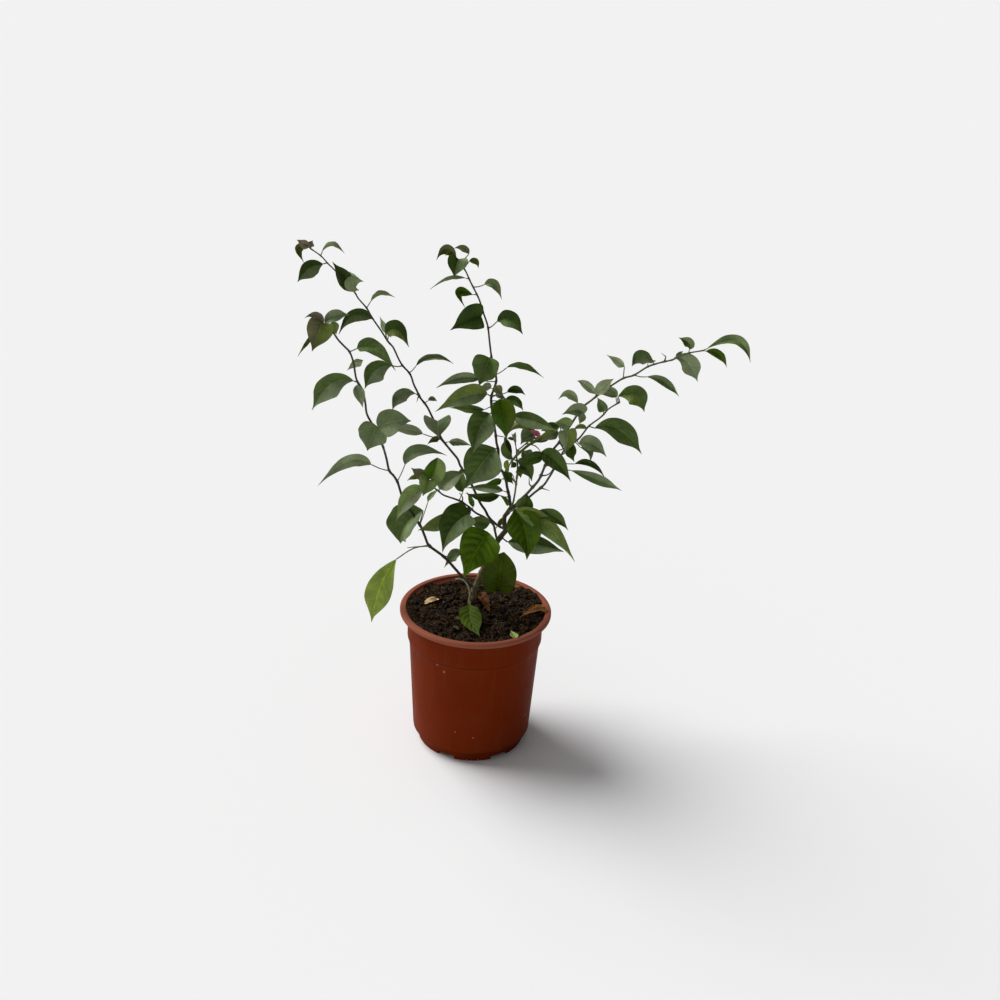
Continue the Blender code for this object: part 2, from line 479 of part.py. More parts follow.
def midrib(base, middle, tip, share):
    """Place and direction along the curve that runs from base through middle to tip."""
    bend = middle * 2.0 - (base + tip) * 0.5
    spot = base * (1 - share) ** 2 + bend * 2 * share * (1 - share) + tip * share**2
    run = (bend - base) * (1 - share) + (tip - bend) * share
    return spot, run.normalized()


def leaf(name, stalk, base, middle, tip, width, turn, draw, collection, form="ovate"):
    """One leaf: a narrow stalk, then a blade folded a little along its midrib, with waved edges."""
    length = ((middle - base).length + (tip - middle).length) / MM
    if form == "ovate" and length < MEDIUM_LEAF:
        form = "short" if length < SHORT_LEAF else "medium"
    fold = math.radians(FOLD + draw.uniform(-5.0, 5.0))
    phases = (draw.uniform(0.0, 6.28), draw.uniform(0.0, 6.28))
    towards = (VIEWPOINT * MM - middle).normalized()
    rows = [(spot, (base - spot).normalized(), STALK_HALF_WIDTH, 0.0, 0.0) for spot in stalk]
    for share, fullness in OUTLINES[form]:
        spot, run = midrib(base, middle, tip, share)
        half = max(width * 0.5 * fullness, STALK_HALF_WIDTH if share < 0.5 else 0.0)
        opened = fold * (1.25 - 0.6 * share) if fullness else 0.0
        rows.append((spot, run, half, opened, share))
    shape = bmesh.new()
    bmesh.ops.create_grid(shape, x_segments=2, y_segments=len(rows) - 1, size=1.0)
    for vertex in shape.verts:
        spot, run, half, opened, share = rows[round((vertex.co.y + 1.0) / 2.0 * (len(rows) - 1))]
        side = round(vertex.co.x)
        across = run.cross(Vector((0, 0, 1)) if turn == "up" else towards).normalized()
        face = across.cross(run).normalized()
        roll = 0.0 if turn == "up" else math.radians(turn)
        spread = across * math.cos(roll) + face * math.sin(roll)
        rise = face * math.cos(roll) - across * math.sin(roll)
        wave = WAVE * 2.0 * half * math.sin(7.0 * share + phases[side > 0]) if opened else 0.0
        vertex.co = spot + spread * (side * half * math.cos(opened) * MM)
        vertex.co += rise * (abs(side) * (half * math.sin(opened) + wave) * MM)
        if opened:
            vertex.co -= run * (abs(side) * EARS[form] * 2.0 * half * (1.0 - share) ** 2 * MM)
    bmesh.ops.remove_doubles(shape, verts=shape.verts, dist=1e-6)
    bmesh.ops.triangulate(shape, faces=shape.faces, quad_method="ALTERNATE")
    mesh = bpy.data.meshes.new(name)
    shape.to_mesh(mesh)
    shape.free()
    made = new_object(name, mesh, collection)
    shell = made.modifiers.new("thickness", "SOLIDIFY")
    shell.thickness = BLADE * MM
    shell.offset = 0.0
    return made


def fuse(name, core, pieces):
    """Joins a collection of pieces to the core with one Boolean union, and removes the pieces."""
    union = core.modifiers.new("union", "BOOLEAN")
    union.operation = "UNION"
    union.operand_type = "COLLECTION"
    union.collection = pieces
    union.solver = "MANIFOLD"
    apply_modifiers(core)
    for piece in list(pieces.objects):
        bpy.data.objects.remove(piece)
    bpy.data.collections.remove(pieces)
    drop_scraps(core)
    core.name = name


def drop_scraps(made):
    """Keeps only the largest of a mesh's closed surfaces: no loose scrap, no sealed hollow."""
    shape = bmesh.new()
    shape.from_mesh(made.data)
    bmesh.ops.remove_doubles(shape, verts=shape.verts, dist=2e-6)
    waiting = set(shape.faces)
    surfaces = []
    while waiting:
        front = [waiting.pop()]
        surface = set(front)
        while front:
            for edge in front.pop().edges:
                for face in edge.link_faces:
                    if face in waiting and len(edge.link_faces) == 2:
                        waiting.discard(face)
                        surface.add(face)
                        front.append(face)
        surfaces.append(surface)
    keep = max(surfaces, key=len)
    rest = [face for face in shape.faces if face not in keep]
    bmesh.ops.delete(shape, geom=rest, context="FACES")
    shape.to_mesh(made.data)
    shape.free()


def apply_modifiers(made):
    bpy.context.view_layer.update()
    graph = bpy.context.evaluated_depsgraph_get()
    mesh = bpy.data.meshes.new_from_object(made.evaluated_get(graph))
    made.modifiers.clear()
    made.data = mesh


def cut(made, cutter, solver="EXACT"):
    """Takes the cutter away from a piece."""
    difference = made.modifiers.new("cut", "BOOLEAN")
    difference.operation = "DIFFERENCE"
    difference.object = cutter
    difference.solver = solver
    apply_modifiers(made)
    drop_scraps(made)


def material(name, colour, roughness):
    made = bpy.data.materials.new(name)
    made.use_nodes = True
    surface = made.node_tree.nodes["Principled BSDF"]
    surface.inputs["Base Color"].default_value = (*colour, 1.0)
    surface.inputs["Roughness"].default_value = roughness
    surface.inputs["Metallic"].default_value = 0.0
    return made


def finish(made, coat, smooth_angle=40.0):
    made.data.materials.clear()
    made.data.materials.append(coat)
    made.data.shade_smooth()
    made.data.set_sharp_from_angle(angle=math.radians(smooth_angle))


def leafy_stem(name, plan, coat, parts, draw, sides=1):
    """A stem with its leaves, joined in one body."""
    stem = thinned(bowed(plan), STEM_DETAIL)
    core = tube(name, [place(*spot) for spot in stem], plan["radii"], parts, sides)
    pieces = bpy.data.collections.new(name + "_pieces")
    bpy.context.scene.collection.children.link(pieces)
    for index, (at, base, middle, tip, width, turn, *form) in enumerate(plan["leaves"]):
        root = stem_fore(stem, at)
        length = (Vector(tip[:2]) - Vector(base[:2])).length
        lean = LEAN * length * math.cos(index * GOLDEN_ANGLE + plan.get("first_lean", 0.0))
        if index in plan.get("held", ()):
            lean = 0.0
        ends = [
            place(spot[0], spot[1], root.z + spot[2] + lean * share)
            for spot, share in ((base, 0.0), (middle, 0.4), (tip, 1.0))
        ]
        stalk = [place(*root)]
        if (ends[0] - stalk[0]).length > LONG_STALK * MM:
            stalk.append(stalk[0].lerp(ends[0], 0.5) - Vector((0, 0, STALK_SAG * MM)))
        leaf(f"{name}_leaf_{index}", stalk, *ends, width, turn, draw, pieces, *form)
    if plan["leaves"]:
        fuse(name, core, pieces)
    finish(core, coat)
    return core


def fat_stem(name, plan, cutters, sides=1):
    """A stem with clearance round it, which others are cut back to."""
    radii = [radius + CLEARANCE for radius in plan["radii"]]
    points = [place(*spot) for spot in thinned(bowed(plan), STEM_DETAIL)]
    points[0] += (points[0] - points[1]).normalized() * CLEARANCE * MM
    points[-1] += (points[-1] - points[-2]).normalized() * CLEARANCE * MM
    made = tube(name + "_clearance", points, radii, cutters, sides)
    made.hide_render = True
    made.display_type = "WIRE"
    return made


def loose_leaf(name, plan, coat, parts, draw, spot_of):
    """A single blade with no stem, which lies on the soil or sits on a twig's end."""
    *ends, width = plan
    turn = "up" if spot_of is on_soil else 0
    made = leaf(name, [], *[spot_of(*end) for end in ends], width, turn, draw, parts)
    apply_modifiers(made)
    finish(made, coat)
    return made


def turned(name, profile, steps, parts):
    """A shape turned about the upright axis from a profile of (radius, height) in millimetres."""
    mesh = bpy.data.meshes.new(name)
    points = [(radius * MM, 0.0, height * MM) for radius, height in profile]
    mesh.from_pydata(points, [(index, index + 1) for index in range(len(points) - 1)], [])
    made = new_object(name, mesh, parts)
    screw = made.modifiers.new("turn", "SCREW")
    screw.steps = steps
    screw.render_steps = steps
    screw.use_merge_vertices = True
    screw.merge_threshold = 0.00005
    return made


def wall_inner_radius(height):
    """Inside radius of the pot's wall at a height, in millimetres."""
    share = (height - BODY_BOTTOM) / (POT_HEIGHT - LIP_DEPTH - BODY_BOTTOM)
    return BODY_BOTTOM_RADIUS - WALL + (COLLAR_RADIUS - BODY_BOTTOM_RADIUS) * share


def cutter_box(name, size, turn_angle, radius, cutters):
    """A box that stands across the foot ring at an angle round the axis."""
    shape = bmesh.new()
    bmesh.ops.create_cube(shape, size=1.0)
    for vertex in shape.verts:
        vertex.co = Vector((vertex.co.x * size[0], vertex.co.y * size[1], vertex.co.z * size[2])) * MM
    mesh = bpy.data.meshes.new(name)
    shape.to_mesh(mesh)
    shape.free()
    made = new_object(name, mesh, cutters)
    made.location = Vector((math.cos(turn_angle) * radius, math.sin(turn_angle) * radius, 0.0)) * MM
    made.rotation_euler = (0.0, 0.0, turn_angle)
    made.hide_render = True
    made.display_type = "WIRE"
    return made


def make_pot(parts, cutters, coat):
    lip_bottom = POT_HEIGHT - LIP_DEPTH
    profile = [
        (0.0, FLOOR_TOP),
        (FLOOR_RADIUS, FLOOR_TOP),
        (BODY_BOTTOM_RADIUS - WALL, BODY_BOTTOM + CORNER_RISE),
        (wall_inner_radius(lip_bottom - 0.1), lip_bottom - 0.1),
        (LIP_INNER_RADIUS - 0.2, lip_bottom + 2.5),
        (LIP_INNER_RADIUS, POT_HEIGHT - 0.8),
        (LIP_INNER_RADIUS + 1.2, POT_HEIGHT),
        (RIM_RADIUS - 1.5, POT_HEIGHT),
        (RIM_RADIUS, POT_HEIGHT - 1.6),
        (RIM_RADIUS, POT_HEIGHT - 3.2),
        (RIM_RADIUS - 1.2, lip_bottom),
        (COLLAR_RADIUS, lip_bottom),
        (COLLAR_RADIUS - 0.1, COLLAR_BOTTOM),
        (COLLAR_RADIUS - COLLAR_STEP, COLLAR_BOTTOM - 1.2),
        (BODY_TOP_RADIUS, STEP_BOTTOM),
        (BODY_BOTTOM_RADIUS, BODY_BOTTOM),
        (FOOT_RADIUS + 0.9, FOOT_HEIGHT + 0.4),
        (FOOT_RADIUS, FOOT_HEIGHT - 0.4),
        (FOOT_RADIUS - 0.4, 0.0),
        (FOOT_RADIUS - FOOT_WALL, 0.0),
        (FOOT_RADIUS - FOOT_WALL - 0.2, FLOOR_UNDERSIDE),
        (PAD_RADIUS + 1.0, FLOOR_UNDERSIDE),
        (PAD_RADIUS, 0.0),
        (0.0, 0.0),
    ]
    pot = turned("pot", profile, POT_SIDES, parts)
    apply_modifiers(pot)
    gaps = bpy.data.collections.new("pot_gaps")
    cutters.children.link(gaps)
    gaps.hide_render = True
    for foot in range(FEET):
        turn = math.radians(FOOT_TURN - 90.0 + 360.0 * foot / FEET)
        half_period = math.radians(180.0 / FEET)
        size = (6.0, FOOT_GAP, 2 * FOOT_GAP_HEIGHT)
        cutter_box(f"foot_gap_{foot}", size, turn + half_period, FOOT_RADIUS, gaps)
        for side in (-1, 1):
            size = (6.0, TOOTH_GAP, 2 * TOOTH_GAP_HEIGHT)
            angle = turn + side * math.radians(TOOTH_GAP_TURN)
            cutter_box(f"tooth_gap_{foot}_{side}", size, angle, FOOT_RADIUS, gaps)
    for hole in range(DRAIN_HOLES):
        angle = math.radians(22.5 + 360.0 * hole / DRAIN_HOLES)
        spot = Vector((math.cos(angle), math.sin(angle), 0.0)) * DRAIN_CIRCLE_RADIUS
        drill = bmesh.new()
        bmesh.ops.create_cone(
            drill, cap_ends=True, segments=12, radius1=DRAIN_HOLE_RADIUS * MM,
            radius2=DRAIN_HOLE_RADIUS * MM, depth=6.0 * MM,
        )
        mesh = bpy.data.meshes.new(f"drain_hole_{hole}")
        drill.to_mesh(mesh)
        drill.free()
        made = new_object(mesh.name, mesh, gaps)
        made.location = Vector((spot.x, spot.y, (FLOOR_TOP + FLOOR_UNDERSIDE) / 2.0)) * MM
        made.hide_render = True
        made.display_type = "WIRE"
    cutting = pot.modifiers.new("gaps", "BOOLEAN")
    cutting.operation = "DIFFERENCE"
    cutting.operand_type = "COLLECTION"
    cutting.collection = gaps
    apply_modifiers(pot)
    finish(pot, coat, 35.0)
    return pot


def make_soil(parts, cutters, coat):
    top_radius = wall_inner_radius(SOIL_LEVEL) - CLEARANCE - 0.1
    rings = [(top_radius * ring / SOIL_RINGS, SOIL_LEVEL) for ring in range(SOIL_RINGS + 1)]
    corner = BODY_BOTTOM + 4.0
    neck = SOIL_LEVEL - 4.0
    profile = [
        *rings,
        (wall_inner_radius(neck) - SOIL_SIDE_GAP, neck),
        (wall_inner_radius(corner) - SOIL_SIDE_GAP, corner),
        (FLOOR_RADIUS - SOIL_SIDE_GAP, FLOOR_TOP + CLEARANCE),
        (0.0, FLOOR_TOP + CLEARANCE),
    ]
    soil = turned("soil", profile, SOIL_SIDES, parts)
    apply_modifiers(soil)
    for vertex in soil.data.vertices:
        if vertex.co.z > (SOIL_LEVEL - 1.0) * MM:
            vertex.co.z = soil_height(vertex.co.x / MM, vertex.co.y / MM) * MM
    cut(soil, fat_stem("trunk_in_soil", TRUNK, cutters, 2))
    finish(soil, coat, 60.0)
    return soil


def make_trunk(parts, coat):
    """The woody trunk, with the bare side twig that grew from its foot."""
    points = [place(*spot) for spot in thinned(TRUNK["stem"], STEM_DETAIL)]
    trunk = tube("trunk", points, TRUNK["radii"], parts, 2)
    pieces = bpy.data.collections.new("trunk_pieces")
    bpy.context.scene.collection.children.link(pieces)
    points = [place(*spot) for spot in TRUNK_STUB]
    tube("trunk_stub", points, (STUB_RADIUS * 1.3, STUB_RADIUS * 0.8), pieces)
    fuse("trunk", trunk, pieces)
    finish(trunk, coat)
    return trunk


def main():
    for old in list(bpy.data.objects):
        bpy.data.objects.remove(old)
    parts = bpy.data.collections.new("potted_bougainvillea")
    cutters = bpy.data.collections.new("cutters")
    bpy.context.scene.collection.children.link(parts)
    bpy.context.scene.collection.children.link(cutters)
    cutters.hide_render = True
    draw = random.Random(SEED)

    terracotta = material("terracotta_plastic", (0.155, 0.045, 0.024), 0.5)
    peat = material("potting_soil", (0.02, 0.014, 0.01), 0.95)
    bark = material("young_bark", (0.12, 0.085, 0.05), 0.75)
    deep_green = material("deep_green_leaf", (0.036, 0.075, 0.018), 0.45)
    grey_green = material("grey_green_leaf", (0.07, 0.115, 0.045), 0.5)
    fresh_green = material("fresh_green_leaf", (0.075, 0.14, 0.02), 0.45)
    pale_green = material("pale_green_leaf", (0.32, 0.42, 0.17), 0.6)
    dry_brown = material("dry_brown_leaf", (0.14, 0.065, 0.02), 0.8)
    dry_tan = material("dry_tan_leaf", (0.42, 0.3, 0.16), 0.8)
    bract_pink = material("bract_pink", (0.42, 0.07, 0.13), 0.6)

    make_pot(parts, cutters, terracotta)
    make_soil(parts, cutters, peat)
    make_trunk(parts, bark)
    trunk_room = fat_stem("trunk", TRUNK, cutters, 2)

    shoots = [
        ("left_low_shoot", LEFT_LOW_SHOOT, grey_green, []),
        ("left_tall_shoot", LEFT_TALL_SHOOT, deep_green, []),
        ("rosette_twig", ROSETTE_TWIG, grey_green, []),
        ("centre_shoot", CENTRE_SHOOT, deep_green, []),
        ("right_long_shoot", RIGHT_LONG_SHOOT, grey_green, [CENTRE_SHOOT]),
        ("middle_spray", MIDDLE_SPRAY, deep_green, [CENTRE_SHOOT, RIGHT_LONG_SHOOT]),
        ("right_second_shoot", RIGHT_SECOND_SHOOT, deep_green, []),
        ("right_low_spray", RIGHT_LOW_SPRAY, fresh_green, [RIGHT_LONG_SHOOT]),
        ("right_low_leaf", RIGHT_LOW_LEAF, deep_green, []),
        ("front_big_leaf", FRONT_BIG_LEAF, fresh_green, []),
        ("round_low_leaf", ROUND_LOW_LEAF, deep_green, []),
        ("front_low_leaf", FRONT_LOW_LEAF, fresh_green, []),
    ]
    for name, plan, coat, neighbours in shoots:
        shoot = leafy_stem(name, plan, coat, parts, draw)
        cut(shoot, trunk_room)
        for count, neighbour in enumerate(neighbours):
            cut(shoot, fat_stem(f"{name}_room_{count}", neighbour, cutters))
        finish(shoot, coat)

    loose_leaf("young_bract", YOUNG_BRACT, bract_pink, parts, draw, place)
    loose_leaf("dry_curled_leaf", DRY_CURLED_LEAF, dry_brown, parts, draw, on_soil)
    loose_leaf("dry_leaf_right", DRY_LEAF_RIGHT, dry_brown, parts, draw, on_soil)
    loose_leaf("dry_leaf_left", DRY_LEAF_LEFT, dry_tan, parts, draw, on_soil)
    loose_leaf("fallen_green_leaf", FALLEN_GREEN_LEAF, pale_green, parts, draw, on_soil)


main()
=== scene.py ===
import math
import random

import bmesh
import bpy
from mathutils import Matrix, Vector, noise


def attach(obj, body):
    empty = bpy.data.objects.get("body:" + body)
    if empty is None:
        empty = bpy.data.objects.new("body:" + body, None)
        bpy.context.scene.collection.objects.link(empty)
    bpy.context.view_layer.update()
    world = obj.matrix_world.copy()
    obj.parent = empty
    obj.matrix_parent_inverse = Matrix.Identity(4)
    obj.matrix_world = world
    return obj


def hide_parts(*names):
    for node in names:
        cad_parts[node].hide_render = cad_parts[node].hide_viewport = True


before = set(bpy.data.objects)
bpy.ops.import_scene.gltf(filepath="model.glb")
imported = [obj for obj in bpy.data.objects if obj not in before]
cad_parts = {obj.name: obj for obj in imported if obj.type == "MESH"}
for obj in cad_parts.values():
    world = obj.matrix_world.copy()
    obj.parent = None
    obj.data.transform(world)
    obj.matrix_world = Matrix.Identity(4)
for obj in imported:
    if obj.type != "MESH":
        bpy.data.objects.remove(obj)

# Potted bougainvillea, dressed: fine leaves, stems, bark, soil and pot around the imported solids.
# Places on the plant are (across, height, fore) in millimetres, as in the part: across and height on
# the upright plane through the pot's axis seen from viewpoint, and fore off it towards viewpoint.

mm = 0.001
viewpoint = Vector((17.5, -1142.0, 757.0))
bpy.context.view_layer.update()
scene = bpy.context.scene


def place(across, height, fore=0.0):
    spot = Vector((across, 0.0, height))
    return (spot + (viewpoint - spot).normalized() * fore) * mm


def smoothstep(low, high, value):
    share = min(max((value - low) / (high - low), 0.0), 1.0)
    return share * share * (3.0 - 2.0 * share)


# Node helpers: addNode makes a node, wire fills an input with a number, a colour or another output.
def wire(tree, socket, value):
    if isinstance(value, bpy.types.NodeSocket):
        tree.links.new(value, socket)
    elif value is not None:
        socket.default_value = value


def addNode(tree, kind, inputs=(), **settings):
    node = tree.nodes.new(kind)
    for name, value in settings.items():
        setattr(node, name, value)
    for name, value in dict(inputs).items():
        wire(tree, node.inputs[name], value)
    return node


def calc(tree, operation, *values, clamp=False):
    node = addNode(tree, "ShaderNodeMath", operation=operation, use_clamp=clamp)
    for index, value in enumerate(values):
        wire(tree, node.inputs[index], value)
    return node.outputs[0]


def ramp(tree, value, low, high, start=0.0, end=1.0):
    inputs = {"Value": value, "From Min": low, "From Max": high, "To Min": start, "To Max": end}
    node = addNode(tree, "ShaderNodeMapRange", inputs, interpolation_type="SMOOTHSTEP")
    return node.outputs["Result"]


def mixColour(tree, share, first, second, blend="MIX"):
    node = addNode(tree, "ShaderNodeMix", data_type="RGBA", blend_type=blend)
    wire(tree, node.inputs[0], share)
    wire(tree, node.inputs[6], first)
    wire(tree, node.inputs[7], second)
    return node.outputs[2]


def newGroup(name, inputs, outputs):
    tree = bpy.data.node_groups.new(name, "ShaderNodeTree")
    for label, kind, value in inputs:
        socket = tree.interface.new_socket(name=label, in_out="INPUT", socket_type=kind)
        if value is not None:
            socket.default_value = value
    for label, kind in outputs:
        tree.interface.new_socket(name=label, in_out="OUTPUT", socket_type=kind)
    ins = tree.nodes.new("NodeGroupInput")
    outs = tree.nodes.new("NodeGroupOutput")
    return tree, ins, outs


def useGroup(tree, group, inputs=()):
    node = addNode(tree, "ShaderNodeGroup", node_tree=group)
    for name, value in dict(inputs).items():
        wire(tree, node.inputs[name], value)
    return node


def newMaterial(name):
    made = bpy.data.materials.new(name)
    made.use_nodes = True
    return made, made.node_tree, made.node_tree.nodes["Principled BSDF"]


# Shared effect: cloudy and grainy variation over a surface, from Object coordinates in metres.
def makeMottleGroup():
    sizes = [("Cloud Size", "NodeSocketFloat", 0.02), ("Grain Size", "NodeSocketFloat", 0.001)]
    tree, ins, outs = newGroup("mottle", sizes, [("Cloud", "NodeSocketFloat"), ("Grain", "NodeSocketFloat")])
    spot = addNode(tree, "ShaderNodeTexCoord").outputs["Object"]
    for label, detail in (("Cloud", 4.0), ("Grain", 3.0)):
        scale = calc(tree, "DIVIDE", 1.0, ins.outputs[label + " Size"])
        cloud = addNode(tree, "ShaderNodeTexNoise", {"Vector": spot, "Scale": scale, "Detail": detail})
        wire(tree, outs.inputs[label], ramp(tree, cloud.outputs["Fac"], 0.3, 0.7))
    return tree


# Shared effect: the leaf's veins, from its own map, where U runs across the blade and V from its base
# to its tip. The relief is high on the green panels between the veins.
veinPlan = {"pairs": 7.0, "slant": 0.16, "sweep": 0.12, "midribWidth": 0.07, "veinWidth": 0.085}


def makeVeinGroup():
    outputs = [(label, "NodeSocketFloat") for label in ("Midrib", "Side Veins", "Relief", "Margin", "Side")]
    tree, ins, outs = newGroup("leafVeins", [("Pairs", "NodeSocketFloat", veinPlan["pairs"])], outputs)
    spot = addNode(tree, "ShaderNodeUVMap", uv_map="leafMap").outputs["UV"]
    parts = addNode(tree, "ShaderNodeSeparateXYZ", {"Vector": spot})
    across = calc(tree, "MULTIPLY_ADD", parts.outputs["X"], 2.0, -1.0)
    away = calc(tree, "ABSOLUTE", across)
    along = parts.outputs["Y"]
    side = calc(tree, "GREATER_THAN", across, 0.0)
    bend = calc(tree, "MULTIPLY_ADD", away, veinPlan["sweep"], veinPlan["slant"])
    start = calc(tree, "SUBTRACT", along, calc(tree, "MULTIPLY", away, bend))
    wobble = addNode(tree, "ShaderNodeTexNoise", {"Vector": spot, "Scale": 5.0}).outputs["Fac"]
    start = calc(tree, "MULTIPLY_ADD", wobble, 0.02, start)
    phase = calc(tree, "MULTIPLY_ADD", side, 0.5, calc(tree, "MULTIPLY", start, ins.outputs["Pairs"]))
    turn = calc(tree, "FRACT", phase)
    near = calc(tree, "MINIMUM", turn, calc(tree, "SUBTRACT", 1.0, turn))
    inside = calc(tree, "MULTIPLY", ramp(tree, start, 0.02, 0.08), ramp(tree, away, 0.95, 0.6))
    inside = calc(tree, "MULTIPLY", inside, ramp(tree, along, 0.95, 0.8))
    line = ramp(tree, near, veinPlan["veinWidth"], 0.0)
    thin = calc(tree, "MULTIPLY_ADD", along, -0.6, 1.0)
    midrib = ramp(tree, calc(tree, "DIVIDE", away, thin), veinPlan["midribWidth"], 0.02)
    wire(tree, outs.inputs["Midrib"], midrib)
    wire(tree, outs.inputs["Side Veins"], calc(tree, "MULTIPLY", line, inside))
    veins = calc(tree, "MAXIMUM", midrib, calc(tree, "MULTIPLY", line, inside))
    wire(tree, outs.inputs["Relief"], calc(tree, "SUBTRACT", 1.0, veins))
    wire(tree, outs.inputs["Margin"], ramp(tree, away, 0.9, 1.0))
    wire(tree, outs.inputs["Side"], side)
    return tree


mottle = makeMottleGroup()
leafVeins = makeVeinGroup()

# Base colours of the leaves, by how the light catches them in the photograph and by their age.
# Painted light: the grey, silver and pale tints paint the sheen of the bright sky on lit leaves, and the deep tint
# paints shade.
leafTints = {
    "deep": (0.034, 0.063, 0.005), "mid": (0.047, 0.108, 0.003), "soft": (0.076, 0.122, 0.026),
    "grey": (0.14, 0.19, 0.077), "silver": (0.205, 0.26, 0.13), "pale": (0.28, 0.325, 0.18),
    "light": (0.185, 0.262, 0.072), "bright": (0.047, 0.09, 0.0005), "lime": (0.285, 0.385, 0.062),
    "moss": (0.138, 0.182, 0.036), "olive": (0.072, 0.093, 0.006), "brown": (0.13, 0.13, 0.055),
    "dun": (0.155, 0.135, 0.085), "fern": (0.052, 0.085, 0.001), "fresh": (0.084, 0.165, 0.003),
}
leafLook = {
    "roughness": 0.48, "specular": 0.12, "midrib": 0.75, "sideVeins": 0.17, "margin": -0.2, "bump": 0.00016,
    "underTint": (0.17, 0.22, 0.1, 1.0),
}


def makeLeafMaterial():
    made, tree, surface = newMaterial("leafBlade")
    tint = addNode(tree, "ShaderNodeAttribute", attribute_name="tint").outputs["Color"]
    under = addNode(tree, "ShaderNodeAttribute", attribute_name="under").outputs["Fac"]
    veins = useGroup(tree, leafVeins)
    clouds = useGroup(tree, mottle, {"Cloud Size": 0.012, "Grain Size": 0.0009})
    shade = ramp(tree, clouds.outputs["Cloud"], 0.0, 1.0, 0.84, 1.16)
    shade = calc(tree, "MULTIPLY", shade, ramp(tree, clouds.outputs["Grain"], 0.0, 1.0, 0.94, 1.06))
    for label, gain in (("Midrib", "midrib"), ("Side Veins", "sideVeins"), ("Margin", "margin")):
        shade = calc(tree, "MULTIPLY", shade, calc(tree, "MULTIPLY_ADD", veins.outputs[label], leafLook[gain], 1.0))
    flat = addNode(tree, "ShaderNodeCombineXYZ", {"X": shade, "Y": shade, "Z": shade}).outputs[0]
    colour = mixColour(tree, 1.0, tint, flat, "MULTIPLY")
    colour = mixColour(tree, calc(tree, "MULTIPLY", under, 0.35), colour, leafLook["underTint"])
    wire(tree, surface.inputs["Base Color"], colour)
    rough = ramp(tree, clouds.outputs["Cloud"], 0.0, 1.0, leafLook["roughness"] - 0.05, leafLook["roughness"] + 0.1)
    wire(tree, surface.inputs["Roughness"], calc(tree, "MULTIPLY_ADD", under, 0.2, rough))
    surface.inputs["Specular IOR Level"].default_value = leafLook["specular"]
    height = calc(tree, "MULTIPLY_ADD", clouds.outputs["Grain"], 0.25, veins.outputs["Relief"])
    bump = addNode(tree, "ShaderNodeBump", {"Height": height, "Distance": leafLook["bump"], "Strength": 0.6})
    wire(tree, surface.inputs["Normal"], bump.outputs["Normal"])
    return made


# Bark of stems and trunk: fine lengthwise grain, lenticels and a dusty bloom.
def makeBark(name, dark, light, roughness, grain=0.0011, speck=(0.3, 0.26, 0.18, 1.0), greensFrom=None):
    made, tree, surface = newMaterial(name)
    spot = addNode(tree, "ShaderNodeTexCoord").outputs["Object"]
    stretched = addNode(tree, "ShaderNodeMapping", {"Vector": spot, "Scale": (1.0, 1.0, 0.28)})
    fibres = addNode(tree, "ShaderNodeTexNoise", {"Vector": stretched.outputs[0], "Scale": 1.0 / grain, "Detail": 5.0})
    clouds = useGroup(tree, mottle, {"Cloud Size": 0.009, "Grain Size": 0.0012})
    share = calc(tree, "MULTIPLY", ramp(tree, fibres.outputs["Fac"], 0.35, 0.68), 0.6)
    share = calc(tree, "MULTIPLY_ADD", clouds.outputs["Cloud"], 0.4, share)
    colour = mixColour(tree, share, (*dark, 1.0), (*light, 1.0))
    spots = addNode(tree, "ShaderNodeTexVoronoi", {"Vector": spot, "Scale": 420.0, "Randomness": 1.0})
    specks = ramp(tree, spots.outputs["Distance"], 0.2, 0.1)
    colour = mixColour(tree, calc(tree, "MULTIPLY", specks, 0.35), colour, speck)
    if greensFrom:
        height = addNode(tree, "ShaderNodeSeparateXYZ", {"Vector": spot}).outputs["Z"]
        colour = mixColour(tree, ramp(tree, height, *greensFrom, 0.0, 0.85), colour, (0.03, 0.027, 0.012, 1.0))
    wire(tree, surface.inputs["Base Color"], colour)
    wire(tree, surface.inputs["Roughness"], ramp(tree, fibres.outputs["Fac"], 0.3, 0.7, roughness - 0.08, roughness + 0.1))
    surface.inputs["Specular IOR Level"].default_value = 0.35
    height = calc(tree, "MULTIPLY_ADD", specks, 0.5, fibres.outputs["Fac"])
    bump = addNode(tree, "ShaderNodeBump", {"Height": height, "Distance": 0.0003, "Strength": 0.7})
    wire(tree, surface.inputs["Normal"], bump.outputs["Normal"])
    return made


leafMaterial = makeLeafMaterial()
stemMaterials = {
    "dark": makeBark("darkStem", (0.018, 0.014, 0.008), (0.055, 0.042, 0.024), 0.6),
    "olive": makeBark("oliveStem", (0.028, 0.034, 0.013), (0.075, 0.078, 0.035), 0.55),
    "green": makeBark("greenStem", (0.06, 0.085, 0.024), (0.13, 0.16, 0.06), 0.5),
    "bark": makeBark(
        "trunkBark", (0.05, 0.034, 0.014), (0.25, 0.19, 0.095), 0.8, 0.0016, (0.36, 0.3, 0.18, 1.0), (0.165, 0.2),
    ),
    "twig": makeBark("paleTwig", (0.3, 0.32, 0.17), (0.6, 0.62, 0.4), 0.7),
}
print("scene: leaf and stem materials are ready")


# Each piece's object stays at the origin, with its place in its mesh.
def newPiece(name, mesh, nodes, materials, smoothAngle=50.0):
    piece = bpy.data.objects.new(name, mesh)
    scene.collection.objects.link(piece)
    for index, made in enumerate(materials):
        if index < len(mesh.materials):
            mesh.materials[index] = made
        else:
            mesh.materials.append(made)
    mesh.shade_smooth()
    mesh.set_sharp_from_angle(angle=math.radians(smoothAngle))
    if nodes:
        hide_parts(*nodes)
    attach(piece, "root")
    return piece


